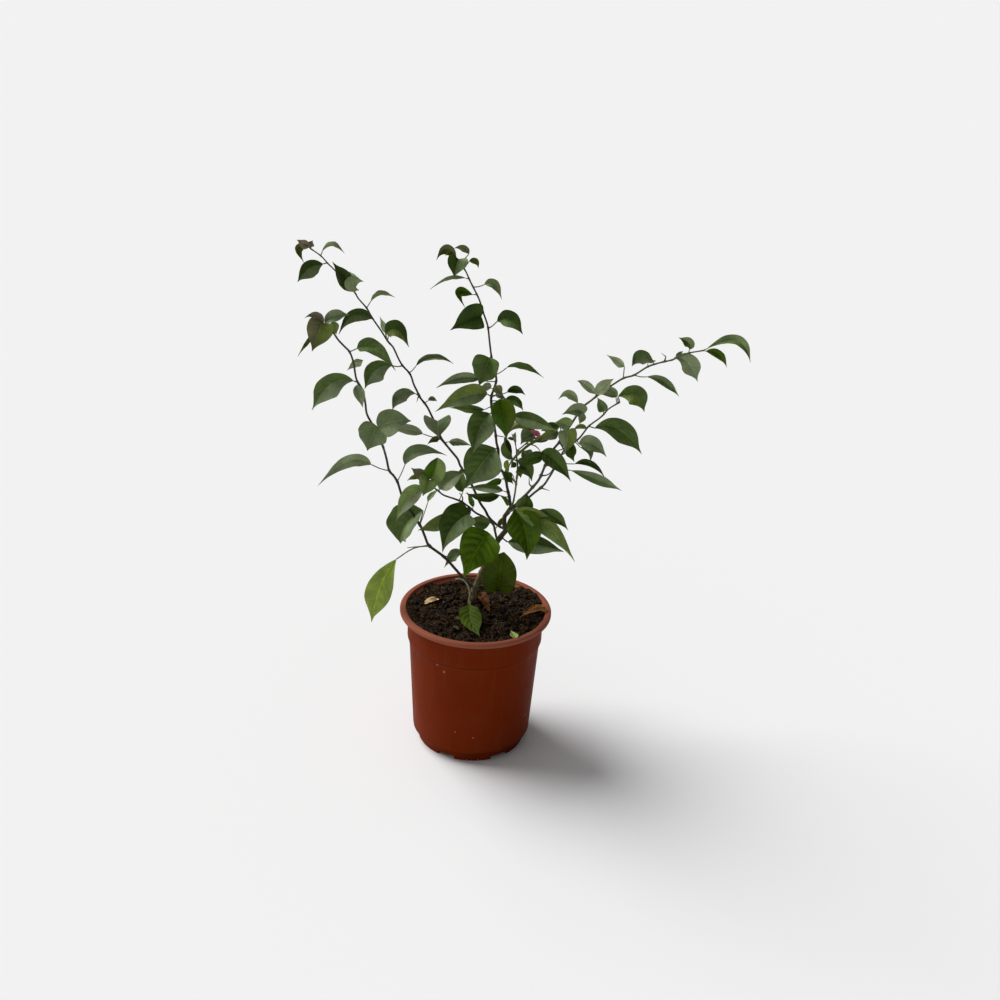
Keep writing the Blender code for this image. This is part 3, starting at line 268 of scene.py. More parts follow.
def bowed(plan):
    stem = [Vector(spot) for spot in plan["stem"]]
    ways = [0.0]
    for start, end in zip(stem, stem[1:]):
        ways.append(ways[-1] + (end - start).length)
    bow = plan.get("bow", 0.0)
    return [
        (spot.x, spot.y, spot.z + bow * (way / ways[-1]) ** 2) for spot, way in zip(stem, ways)
    ]


def stemFore(stem, at):
    best = None
    for start, end in zip(stem, stem[1:]):
        run = Vector(end[:2]) - Vector(start[:2])
        share = (Vector(at) - Vector(start[:2])).dot(run) / max(run.length_squared, 1e-9)
        share = min(max(share, 0.0), 1.0)
        spot = Vector(start).lerp(Vector(end), share)
        away = (Vector(at) - spot.xy).length
        if best is None or away < best[0]:
            best = (away, spot)
    return best[1]


# A smooth path through points in metres, with a point about every step.
def smoothPath(points, step):
    ends = [points[0] * 2 - points[1], *points, points[-1] * 2 - points[-2]]
    path = []
    for before, start, end, after in zip(ends, ends[1:], ends[2:], ends[3:]):
        count = max(1, round((end - start).length / step))
        for index in range(count):
            t = index / count
            bend = (end - before) * t + (before * 2 - start * 5 + end * 4 - after) * t**2
            path.append(start + (bend + (start * 3 - before - end * 3 + after) * t**3) * 0.5)
    path.append(points[-1])
    return path


# A bundle of round tubes, made as one curve: each tube is (points, radii in millimetres, material).
def makeTubes(name, tubes, resolution=3):
    curve = bpy.data.curves.new(name, "CURVE")
    curve.dimensions = "3D"
    curve.bevel_depth = mm
    curve.bevel_resolution = resolution
    curve.use_fill_caps = True
    curve.materials.append(leafMaterial)
    for slot in range(max(tube[2] for tube in tubes)):
        curve.materials.append(leafMaterial)
    for points, radii, slot in tubes:
        spline = curve.splines.new("POLY")
        spline.points.add(len(points) - 1)
        spline.material_index = slot
        for index, point in enumerate(points):
            spline.points[index].co = (*point, 1.0)
            spline.points[index].radius = radii[index]
    guide = bpy.data.objects.new(name, curve)
    scene.collection.objects.link(guide)
    bpy.context.view_layer.update()
    mesh = bpy.data.meshes.new_from_object(guide.evaluated_get(bpy.context.evaluated_depsgraph_get()))
    bpy.data.objects.remove(guide)
    bpy.data.curves.remove(curve)
    return mesh


def evenRadii(count, first, last):
    return [first + (last - first) * index / max(count - 1, 1) for index in range(count)]


# Leaf blades. Outlines run from the base to the tip: (share of the length, share of the half width).
outlines = {
    "ovate": ((0, 0), (0.05, 0.28), (0.12, 0.6), (0.22, 0.88), (0.34, 1), (0.48, 0.96), (0.6, 0.82), (0.72, 0.56),
              (0.82, 0.29), (0.91, 0.11), (1, 0.0)),
    "heart": ((0, 0), (0.04, 0.5), (0.1, 0.85), (0.2, 0.98), (0.3, 1), (0.42, 0.94), (0.55, 0.77), (0.68, 0.52),
              (0.8, 0.26), (0.9, 0.1), (1, 0.0)),
    "shoulder": ((0, 0), (0.06, 0.2), (0.15, 0.46), (0.27, 0.75), (0.4, 0.94), (0.53, 1), (0.65, 0.93), (0.75, 0.7),
                 (0.84, 0.38), (0.92, 0.13), (1, 0.0)),
    "round": ((0, 0), (0.05, 0.42), (0.14, 0.73), (0.26, 0.92), (0.4, 1), (0.55, 0.99), (0.7, 0.87), (0.82, 0.65),
              (0.9, 0.42), (0.96, 0.18), (1, 0.0)),
}
bladePlan = {
    "ears": {"ovate": 0.03, "heart": 0.2, "shoulder": -0.05, "round": 0.06}, "fold": 27.0, "wave": 0.075, "ripple": 0.028,
    "quilt": 0.02, "thickness": 0.3, "cell": 0.95, "twist": 9.0, "stalkRadius": 0.5, "midribRadius": 0.4,
    "stemShare": 0.84, "longStalk": 9.0, "stalkSag": 0.8, "lean": 0.6, "goldenAngle": math.radians(137.5),
}


def fullness(form, share):
    points = outlines[form]
    for index, (start, end) in enumerate(zip(points, points[1:])):
        if share <= end[0]:
            before = points[max(index - 1, 0)]
            after = points[min(index + 2, len(points) - 1)]
            width = end[0] - start[0]
            t = (share - start[0]) / width
            slopes = [
                (end[1] - before[1]) / (end[0] - before[0]) * width,
                (after[1] - start[1]) / (after[0] - start[0]) * width,
            ]
            if index == 0:
                slopes[0] = (end[1] - start[1]) * 1.7
            value = start[1] * (2 * t**3 - 3 * t**2 + 1) + slopes[0] * (t**3 - 2 * t**2 + t)
            value += end[1] * (3 * t**2 - 2 * t**3) + slopes[1] * (t**3 - t**2)
            return max(value, 0.0)
    return 0.0


def alongRib(base, middle, tip, share):
    bend = middle * 2.0 - (base + tip) * 0.5
    spot = base * (1 - share) ** 2 + bend * 2 * share * (1 - share) + tip * share**2
    run = (bend - base) * (1 - share) + (tip - bend) * share
    return spot, run.normalized()


# Two tints for one blade: the first word colours its left or upper half, the second its right or lower half. This is
# mostly painted light and shade on the two faces of the fold, and partly the blade's own tone.
def tintOf(words, across):
    first, _, second = words.partition("/")
    pair = [Vector(leafTints[first]), Vector(leafTints[second or first])]
    lies = across.x if abs(across.x) > abs(across.z) else -across.z
    return pair[::-1] if lies < 0 else pair


# One blade, added to shape: a grid bent along its midrib, folded, quilted between its veins, waved at
# its margin and given its thickness. It returns the places of the rib that runs below it.
def addBlade(shape, ends, width, turn, words, form, fold, draw):
    base, middle, tip = ends
    length = ((middle - base).length + (tip - middle).length) / mm
    cell = bladePlan["cell"]
    columns = 2 * min(max(round(width / 2 / cell), 2), 18)
    rows = min(max(round(length / cell), 9), 60)
    towards = (viewpoint * mm - middle).normalized()
    fold = math.radians(fold + draw.uniform(-6, 6))
    phases = [(draw.uniform(0, 6.28), draw.uniform(0, 6.28)) for _ in range(2)]
    twist = math.radians(draw.uniform(-1, 1) * bladePlan["twist"])
    shade = draw.uniform(0.88, 1.12)
    tintLayer = shape.verts.layers.float_color["tint"]
    underLayer = shape.verts.layers.float["under"]
    mapLayer = shape.loops.layers.uv["leafMap"]

    def frameAt(share):
        spot, run = alongRib(base, middle, tip, share)
        across = run.cross(Vector((0, 0, 1)) if turn == "up" else towards).normalized()
        face = across.cross(run).normalized()
        roll = twist * (share - 0.4) + (0.0 if turn == "up" else math.radians(turn))
        spread = across * math.cos(roll) + face * math.sin(roll)
        rise = face * math.cos(roll) - across * math.sin(roll)
        return spot, run, spread, rise

    tints = tintOf(words, frameAt(0.4)[2])
    steps = []
    for row in range(rows + 1):
        even = row / rows
        share = even - 0.11 * math.sin(2 * math.pi * even)
        steps.append((share, *frameAt(share), width * 0.5 * fullness(form, share)))
    made = bmesh.ops.create_grid(shape, x_segments=columns, y_segments=rows, size=1.0)["verts"]
    spots = {}
    for vertex in made:
        side = vertex.co.x
        share, spot, run, spread, rise, half = steps[round((vertex.co.y + 1.0) / 2.0 * rows)]
        away = abs(side)
        spots[vertex] = (side, share)
        opened = fold * (1.25 - 0.6 * share)
        start = share - away * (veinPlan["slant"] + veinPlan["sweep"] * away)
        panel = math.cos((start * veinPlan["pairs"] + (0.5 if side > 0 else 0.0)) * 2 * math.pi)
        quilt = -panel * bladePlan["quilt"] * width * smoothstep(0, 0.12, start) * (1 - away**3)
        quilt *= smoothstep(1.0, 0.75, share) * smoothstep(0, 0.25, away)
        slow, quick = phases[side > 0]
        wave = bladePlan["wave"] * 2 * half * math.sin(7.0 * share + slow) * away**1.6
        wave += bladePlan["ripple"] * 2 * half * math.sin(23.0 * share + quick) * away**4
        dome = 1.35 * away - 0.35 * away**2
        vertex.co = spot + spread * (side * half * math.cos(opened) * mm)
        vertex.co += rise * ((half * math.sin(opened) * dome + wave + quilt) * mm)
        vertex.co -= run * (away**1.4 * bladePlan["ears"][form] * 2 * half * (1 - share) ** 2 * mm)
        # The halves blend across the midrib: painted light and shade of the fold, beside the blade's own tone.
        blendSide = smoothstep(-0.06, 0.06, side)
        tint = (tints[0] * (1 - blendSide) + tints[1] * blendSide) * shade
        vertex[tintLayer] = (*tint, 1.0)
    faces = list({face for vertex in made for face in vertex.link_faces})
    for face in faces:
        face.material_index = 0
        for loop in face.loops:
            side, share = spots[loop.vert]
            loop[mapLayer].uv = ((side + 1) / 2, share)
    doubles = [vertex for vertex in made if spots[vertex][1] in (0.0, 1.0)]
    known = set(shape.verts) - set(made)
    bmesh.ops.remove_doubles(shape, verts=doubles, dist=1e-6)
    kept = [vertex for vertex in shape.verts if vertex not in known]
    faces = list({face for vertex in kept for face in vertex.link_faces})
    before = set(shape.verts)
    bmesh.ops.solidify(shape, geom=faces, thickness=bladePlan["thickness"] * mm)
    for vertex in shape.verts:
        if vertex not in before:
            vertex[underLayer] = 1.0
    rib = []
    ribRadii = []
    for index in range(9):
        share = 0.88 * index / 8
        spot, run, spread, rise = frameAt(share)
        radius = bladePlan["midribRadius"] * min(1.0, 0.55 + width / 40) * (1 - 0.8 * share)
        rib.append(spot - rise * ((bladePlan["thickness"] * 0.6 + radius * 0.55) * mm))
        ribRadii.append(radius)
    return rib, ribRadii


def newLeafShape():
    shape = bmesh.new()
    shape.loops.layers.uv.new("leafMap")
    shape.verts.layers.float_color.new("tint")
    shape.verts.layers.float.new("under")
    return shape


def addBud(shape, spot, size, run):
    made = bmesh.ops.create_icosphere(shape, subdivisions=2, radius=1.0)["verts"]
    turn = run.to_track_quat("Z", "Y").to_matrix().to_4x4()
    scale = Matrix.Diagonal((size * 0.8 * mm, size * 0.7 * mm, size * 1.3 * mm, 1.0))
    bmesh.ops.transform(shape, verts=made, matrix=Matrix.Translation(spot) @ turn @ scale)
    for face in {face for vertex in made for face in vertex.link_faces}:
        face.material_index = 2


# A stem with its leaves, stalks, buds and thorns, as one piece with three materials: blade, bark of
# the stem, and green of the stalks.
def growShoot(name, node, plan, bark, draw, stalkBark="green"):
    stem = bowed(plan)
    path = smoothPath([place(*spot) for spot in stem], 2.2 * mm)
    shape = newLeafShape()
    roots = []
    tubes = []
    for index, (at, base, middle, tip, width, turn, words, *more) in enumerate(plan["leaves"]):
        root = stemFore(stem, at)
        length = (Vector(tip[:2]) - Vector(base[:2])).length
        lean = bladePlan["lean"] * length * math.cos(index * bladePlan["goldenAngle"])
        if index in plan.get("held", ()):
            lean = 0.0
        ends = [
            place(spot[0], spot[1], root.z + spot[2] + lean * share)
            for spot, share in ((base, 0.0), (middle, 0.4), (tip, 1.0))
        ]
        foot = place(*root)
        if words in ("thorn", "stub"):
            route = smoothPath([foot, *ends], 0.8 * mm)
            tubes.append((route, evenRadii(len(route), 0.75, 0.3 if words == "stub" else 0.12), 1))
            roots.append((foot, 1.0))
            continue
        route = [foot]
        if (ends[0] - foot).length > bladePlan["longStalk"] * mm:
            arch = more[2] if len(more) > 2 else -bladePlan["stalkSag"]
            route.append(foot.lerp(ends[0], 0.5) + Vector((0, 0, arch * mm)))
        form = more[0] if more else "ovate"
        fold = more[1] if len(more) > 1 else bladePlan["fold"]
        rib, ribRadii = addBlade(shape, ends, width, turn, words, form, fold, draw)
        stalk = smoothPath([*route, rib[0]], 1.5 * mm)
        thick = bladePlan["stalkRadius"] * min(1.15, 0.75 + width / 60)
        radii = [thick * (1.25 - 0.25 * smoothstep(0, 0.3, i / len(stalk))) for i in range(len(stalk))]
        tubes.append((stalk[:-1] + rib, radii[:-1] + ribRadii, 2))
        run = (stalk[1] - stalk[0]).normalized()
        addBud(shape, foot + run * (plan["radii"][1] + 0.5) * mm, 0.62, run)
        roots.append((foot, 0.55))
    radii = []
    for index, spot in enumerate(path):
        share = index / (len(path) - 1)
        radius = plan["radii"][0] + (plan["radii"][1] - plan["radii"][0]) * share
        swell = max((gain * math.exp(-(((spot - root).length / (1.6 * mm)) ** 2)) for root, gain in roots), default=0)
        radius *= bladePlan["stemShare"]
        radii.append(radius * (1 + swell * 0.5) * (1 + 0.05 * noise.noise(spot * 400)))
    tubes.insert(0, (path, radii, 1))
    stems = makeTubes(name, tubes)
    shape.from_mesh(stems)
    bpy.data.meshes.remove(stems)
    bmesh.ops.remove_doubles(shape, verts=shape.verts, dist=1e-7)
    mesh = bpy.data.meshes.new(name)
    shape.to_mesh(mesh)
    shape.free()
    materials = [leafMaterial, stemMaterials[bark], stemMaterials[stalkBark]]
    piece = newPiece(name, mesh, [node], materials, 60.0)
    print(f"scene: {name} has {len(plan['leaves'])} leaves and {len(mesh.polygons)} faces")
    return piece


# The woody trunk, with leaf scars and the bare side twig that grew from its foot.
trunkPlan = {
    "stem": [
        (-6.5, 120, -19), (-5, 131, -18), (-4.5, 139, -18), (-3, 147, -18), (-1.5, 155, -17.5),
        (1, 163, -17), (4, 172, -16.5), (8, 184, -16), (13, 195, -15), (17, 204, -14.5),
        (21, 211, -14), (24, 216.5, -12.5), (22.5, 222, -11.5), (22.3, 229, -10.5), (25, 233.5, -9.5),
        (27.3, 238, -9),
    ],
    "radii": (3.4, 1.9),
    "twig": [
        (-3.5, 145, -17.5), (-5.5, 149, -16), (-7.5, 156, -14), (-11, 162, -12), (-15, 164.3, -11),
        (-19.5, 164, -10),
    ],
    "twigRadii": (0.95, 0.6),
    "scars": [(-3, 147), (-1.5, 155), (4, 172), (13, 195), (14.5, 198.5), (20, 209.3), (24, 216.5), (25, 233.5)],
}


def makeTrunk(plan):
    path = smoothPath([place(*spot) for spot in plan["stem"]], 0.9 * mm)
    scars = [place(*stemFore(plan["stem"], scar)) for scar in plan["scars"]]
    radii = []
    for index, spot in enumerate(path):
        share = index / (len(path) - 1)
        radius = plan["radii"][0] + (plan["radii"][1] - plan["radii"][0]) * share
        swell = max(math.exp(-(((spot - scar).length / (2.0 * mm)) ** 2)) for scar in scars)
        foot = 0.35 * (1 - smoothstep(0.08, 0.3, share))
        radii.append(radius * (1 + 0.16 * swell + foot * 0.6))
    twig = smoothPath([place(*spot) for spot in plan["twig"]], 0.8 * mm)
    twigRadii = evenRadii(len(twig), *plan["twigRadii"])
    twigRadii = [radius * (1 + 0.12 * math.sin(index * 0.9)) for index, radius in enumerate(twigRadii)]
    mesh = makeTubes("trunk", [(path, radii, 0), (twig, twigRadii, 1)], 10)
    shape = bmesh.new()
    shape.from_mesh(mesh)
    bmesh.ops.remove_doubles(shape, verts=shape.verts, dist=1e-7)
    shape.normal_update()
    for vertex in shape.verts:
        ridge = noise.noise(Vector((vertex.co.x * 900, vertex.co.y * 900, vertex.co.z * 160)))
        knob = noise.noise(vertex.co * 260)
        vertex.co += vertex.normal * ((0.28 * ridge + 0.22 * knob) * mm)
    shape.to_mesh(mesh)
    shape.free()
    return newPiece("trunkWood", mesh, ["trunk"], [stemMaterials["bark"], stemMaterials["twig"]], 70.0)


makeTrunk(trunkPlan)
print("scene: trunk is ready")

draw = random.Random(11)

# Left low shoot: arches up to the left from the rim.
leftLowShoot = {
    "stem": [
        (-1.5, 155, -17.5), (-9, 161.5, -16), (-14, 167, -14), (-20, 174, -12), (-26, 181, -10),
        (-32, 187, -8), (-38, 191.5, -6), (-45.2, 197.2, -4), (-48.5, 205, -3), (-52.5, 215, -2),
        (-57, 222, -1), (-61.8, 229.3, 0), (-65.5, 234, 0), (-70, 244, 1), (-72, 250.3, 2),
        (-74.4, 258, 3), (-78, 264, 4), (-82, 268.8, 5), (-84.5, 280, 7), (-87.6, 291, 9),
        (-90.5, 297, 10), (-95, 308, 12), (-101.8, 320.4, 14), (-103.5, 331, 16), (-105.8, 342.8, 18),
        (-111.2, 352.3, 20), (-113.9, 367.4, 23), (-117.2, 376.9, 25), (-122, 382, 26),
        (-127, 387.3, 27), (-131.6, 393.9, 28), (-138, 399.5, 30),
    ],
    "bow": 27,
    "held": (13,),
    "radii": (1.6, 0.9),
    "leaves": [
        ((-138, 399), (-139.6, 400.8, 0), (-146, 408.5, 2), (-155.4, 405, 4), 8, 25, "dun"),
        ((-138, 399), (-138.5, 401.5, -1), (-129, 408.5, -3), (-117.4, 409.8, -5), 11, 10, "silver"),
        ((-138, 399), (-140.5, 401.5, 2), (-144.5, 390, 5), (-149.5, 375.7, 7), 25, 0, "brown/moss", "heart"),
        ((-136, 398), (-143, 397, 1), (-153, 385, 0), (-161.5, 370.5, 0), 5, 50, "olive"),
        ((-134, 396), (-134, 401, -1), (-130.5, 398, -2), (-128.5, 391.5, -3), 9, 10, "moss"),
        ((-117.5, 377), (-111, 380.5, 1), (-95, 380, 4), (-77.5, 362, 8), 15, 25, "soft"),
        ((-114, 368), (-106, 370, -3), (-112, 367, -6), (-119.5, 360, -8), 8, 20, "silver/pale"),
        ((-110, 349.5), (-114, 351, 2), (-133, 347, 6), (-150, 322, 10), 23, 10, "soft/silver", "shoulder"),
        ((-109, 348), (-111.5, 347, 1), (-108.5, 338, 2), (-105.5, 326.5, 3), 10, 10, "silver"),
        ((-88, 291.5), (-92.5, 309.5, 6), (-97.5, 300, 9), (-101.5, 286.3, 9), 31, 0, "grey", "heart"),
        ((-95.5, 309), (-92, 309, 3), (-78, 315.5, 5), (-63, 316.5, 2), 26, 0, "grey/silver"),
        ((-81.5, 268.5), (-98, 273.5, 4), (-119, 275.5, 8), (-145.5, 250, 12), 13, 15, "silver"),
        ((-74.5, 258.5), (-68, 275, 7), (-57, 289.5, 11), (-30.5, 285.5, 13), 12, 0, "grey/silver"),
        ((-53, 217), (-47, 240, -8), (-43, 247, -12), (-37, 254, -16), 6, 45, "grey"),
        ((-53, 218), (-51, 231.5, 2), (-67, 215, 6), (-70.5, 197, 8), 38, -32, "soft/grey", "ovate", 34),
        ((-45, 197), (-74.5, 181, 4), (-88.5, 152, 6), (-96.5, 114, 8), 27, 0, "lime", "shoulder", 24, 3.5),
        ((-44, 196.6), (-58, 194.5, 1), (-61, 194, 1), (-64.5, 193.3, 1), 2, 40, "stub"),
        ((-31, 186.5), (-14, 190.5, -6), (-22, 188, -8), (-30.5, 174.5, -9), 12, 0, "grey"),
    ],
}
growShoot("leftLowShoot", "left_low_shoot", leftLowShoot, "dark", draw)

# Left tall shoot: the tallest on the left.
leftTallShoot = {
    "stem": [
        (24, 217, -12.5), (20, 218.5, -15.5), (16.4, 220.4, -17.5), (11.5, 224.5, -19), (7.7, 228.8, -20),
        (4.5, 235, -22), (0.3, 241, -24), (-6, 254, -28), (-12, 266, -31), (-18.9, 276.4, -34),
        (-21.6, 283, -36), (-26.8, 289.4, -37), (-33, 297, -39), (-36.9, 302.1, -40),
        (-40, 311, -42), (-45.1, 321.4, -44), (-50, 331, -46), (-56, 338.8, -48), (-59, 345, -49),
        (-61.7, 350.4, -50), (-65.2, 359.8, -51), (-71.9, 367.3, -53), (-76, 374.5, -54),
        (-80, 383, -55), (-84.5, 388, -56), (-91, 398, -58), (-97.7, 407.5, -60), (-103, 416.6, -62),
        (-110, 424.5, -63), (-113.1, 429.7, -64), (-122, 440, -66), (-132.6, 450.5, -68),
        (-136, 453.7, -69), (-141.2, 459.3, -70), (-150.4, 465.5, -72),
    ],
    "bow": 0,
    "radii": (1.5, 0.65),
    "leaves": [
        ((-150, 465), (-151, 466, 0), (-156, 469.5, 1), (-161, 471.8, 2), 9, 20, "dun"),
        ((-149, 464.5), (-152, 466.5, 1), (-160, 465, 3), (-155.2, 452.8, 5), 10, 30, "olive"),
        ((-141.5, 459.5), (-140, 464, 1), (-131, 468.5, 4), (-121.5, 462.5, 7), 8, 60, "grey"),
        ((-136, 453.7), (-139.5, 452.5, 1), (-151, 448, 5), (-161, 436, 9), 17, 15, "deep/grey", "shoulder"),
        ((-112.5, 429), (-113.5, 430, 2), (-121.5, 441.5, 4), (-131.8, 455, 6), 16, 5, "deep"),
        ((-112.5, 429), (-113, 430, 2), (-113.5, 438, 4), (-105.5, 439.5, 5), 15, 20, "silver/grey"),
        ((-113, 430), (-114, 436, -3), (-116.5, 442, -7), (-117, 447.5, -13), 12, 0, "grey"),
        ((-103, 416.5), (-99.5, 423, 1), (-90, 429, 4), (-79, 427, 8), 8, 55, "grey"),
        ((-98, 408), (-98, 407.5, 1), (-114.5, 409.5, 5), (-126.5, 391.8, 9), 14, 15, "deep/grey"),
        ((-85, 388.5), (-84, 396, 1), (-87.5, 401, -2), (-92, 410, -6), 7, 20, "silver"),
        ((-83, 387), (-87, 394.5, 2), (-76.5, 398, 5), (-66.5, 383.5, 9), 17, 15, "deep/moss"),
        ((-71.5, 367), (-81, 366.5, 3), (-95, 361, 7), (-104, 344, 12), 20, 15, "soft/silver", "shoulder"),
        ((-65.5, 361), (-60, 368, -1), (-44, 375.5, -4), (-28, 371, -8), 9, 45, "grey"),
        ((-57, 340), (-60, 342, 1), (-73, 340, 4), (-80, 325, 8), 14, 15, "grey/pale", "shoulder"),
        ((-52, 334), (-49, 336.5, 0), (-45, 338, -1), (-41, 336, -2), 5, 20, "grey"),
        ((-57, 341), (-58, 338, 1), (-58.5, 336, 1), (-59, 334, 1), 1.4, 0, "thorn"),
        ((-41.5, 314), (-40.2, 318, 2), (-39.8, 312, 5), (-38.5, 301.5, 5), 27, 0, "pale/grey", "heart"),
        ((-33.5, 298), (-30, 298.7, 1), (-21, 299.5, 3), (-10, 296, 5), 9, -35, "pale/grey"),
        ((-36, 300.5), (-38, 300.5, 3), (-43, 300.5, 5), (-49, 295, 7), 6, 10, "olive"),
        ((-37, 302), (-53, 305, 2), (-68, 309.5, 4), (-88, 309, 2), 10, 15, "pale"),
        ((-150, 465), (-149.5, 466, 1), (-149.5, 469, 2), (-147.8, 472, 3), 7, 0, "dun"),
    ],
}
growShoot("leftTallShoot", "left_tall_shoot", leftTallShoot, "dark", draw)

# Rosette twig: a short twig that ends in a tuft of leaves.
rosetteTwig = {
    "stem": [
        (17, 204, -14.5), (14.5, 214, -9.5), (13, 220, -8.5), (9.5, 223.8, -8), (4, 228, -8),
        (-3.4, 231.5, -8), (-9.9, 237.1, -8), (-16.4, 241.6, -7), (-22.7, 244.2, -5), (-33, 247.5, -2),
        (-38, 251.5, -1), (-42, 254.5, 0), (-46, 260, 1), (-48, 265, 2),
    ],
    "bow": 6,
    "held": (3, 4, 5, 7, 8, 9),
    "radii": (1.3, 0.8),
    "leaves": [
        ((-47, 263), (-45, 262.5, 1), (-40.5, 273, 3), (-39.5, 283.5, -2), 20, 0, "mid/light", "round"),
        ((-47.5, 264), (-48, 263, 0), (-55, 267, 2), (-62.7, 272.5, 3), 11, 0, "brown"),
        ((-47, 262), (-54, 264.5, -2), (-60, 263.7, -1), (-66, 259.4, 0), 5, 15, "moss"),
        ((-46.5, 261), (-46.5, 261.3, 3), (-48.7, 254.5, 8), (-51.7, 245.5, 12), 20, 0, "light", "heart"),
        ((-45, 259), (-51, 253.5, 3), (-64.5, 242, 7), (-75.2, 219.2, 10), 18, -5, "light/pale"),
        ((-37.5, 251.5), (-36.5, 253, 1), (-27.5, 263, -1), (-13.5, 272, -7), 18, 10, "grey/pale"),
        ((-19, 243), (-15.8, 251.6, -2), (-19, 263, -5), (-17, 276.5, -9), 13, 0, "soft"),
        ((-16, 241.5), (-16, 246, -2), (-17.5, 248.5, -2), (-19, 250.5, -2), 1.6, 0, "stub"),
        ((-9, 236.5), (-15, 231, 4), (-37, 219.5, 9), (-55.3, 211.3, 13), 16, 5, "moss/light"),
        ((-8, 235.5), (-10, 230, 12), (-25, 214.5, 21), (-32.5, 190, 24), 30, -18, "deep/grey", "heart"),
        ((-8, 235.5), (-8, 233, 4), (-13, 232, 6), (-19, 229.5, 7), 8, 0, "deep"),
        ((9.5, 223.8), (9, 221, 3), (-1, 223, 6), (-13, 223, 9), 13, 10, "soft"),
        ((-7, 235), (-6.5, 237, 1), (-7.5, 244, 1), (-13, 252, 1), 7, 40, "mid/soft"),
        ((14, 216), (17.5, 221, 2), (19.5, 225, 3), (21.5, 229.5, 3), 5, 0, "olive"),
    ],
}
growShoot("rosetteTwig", "rosette_twig", rosetteTwig, "olive", draw)

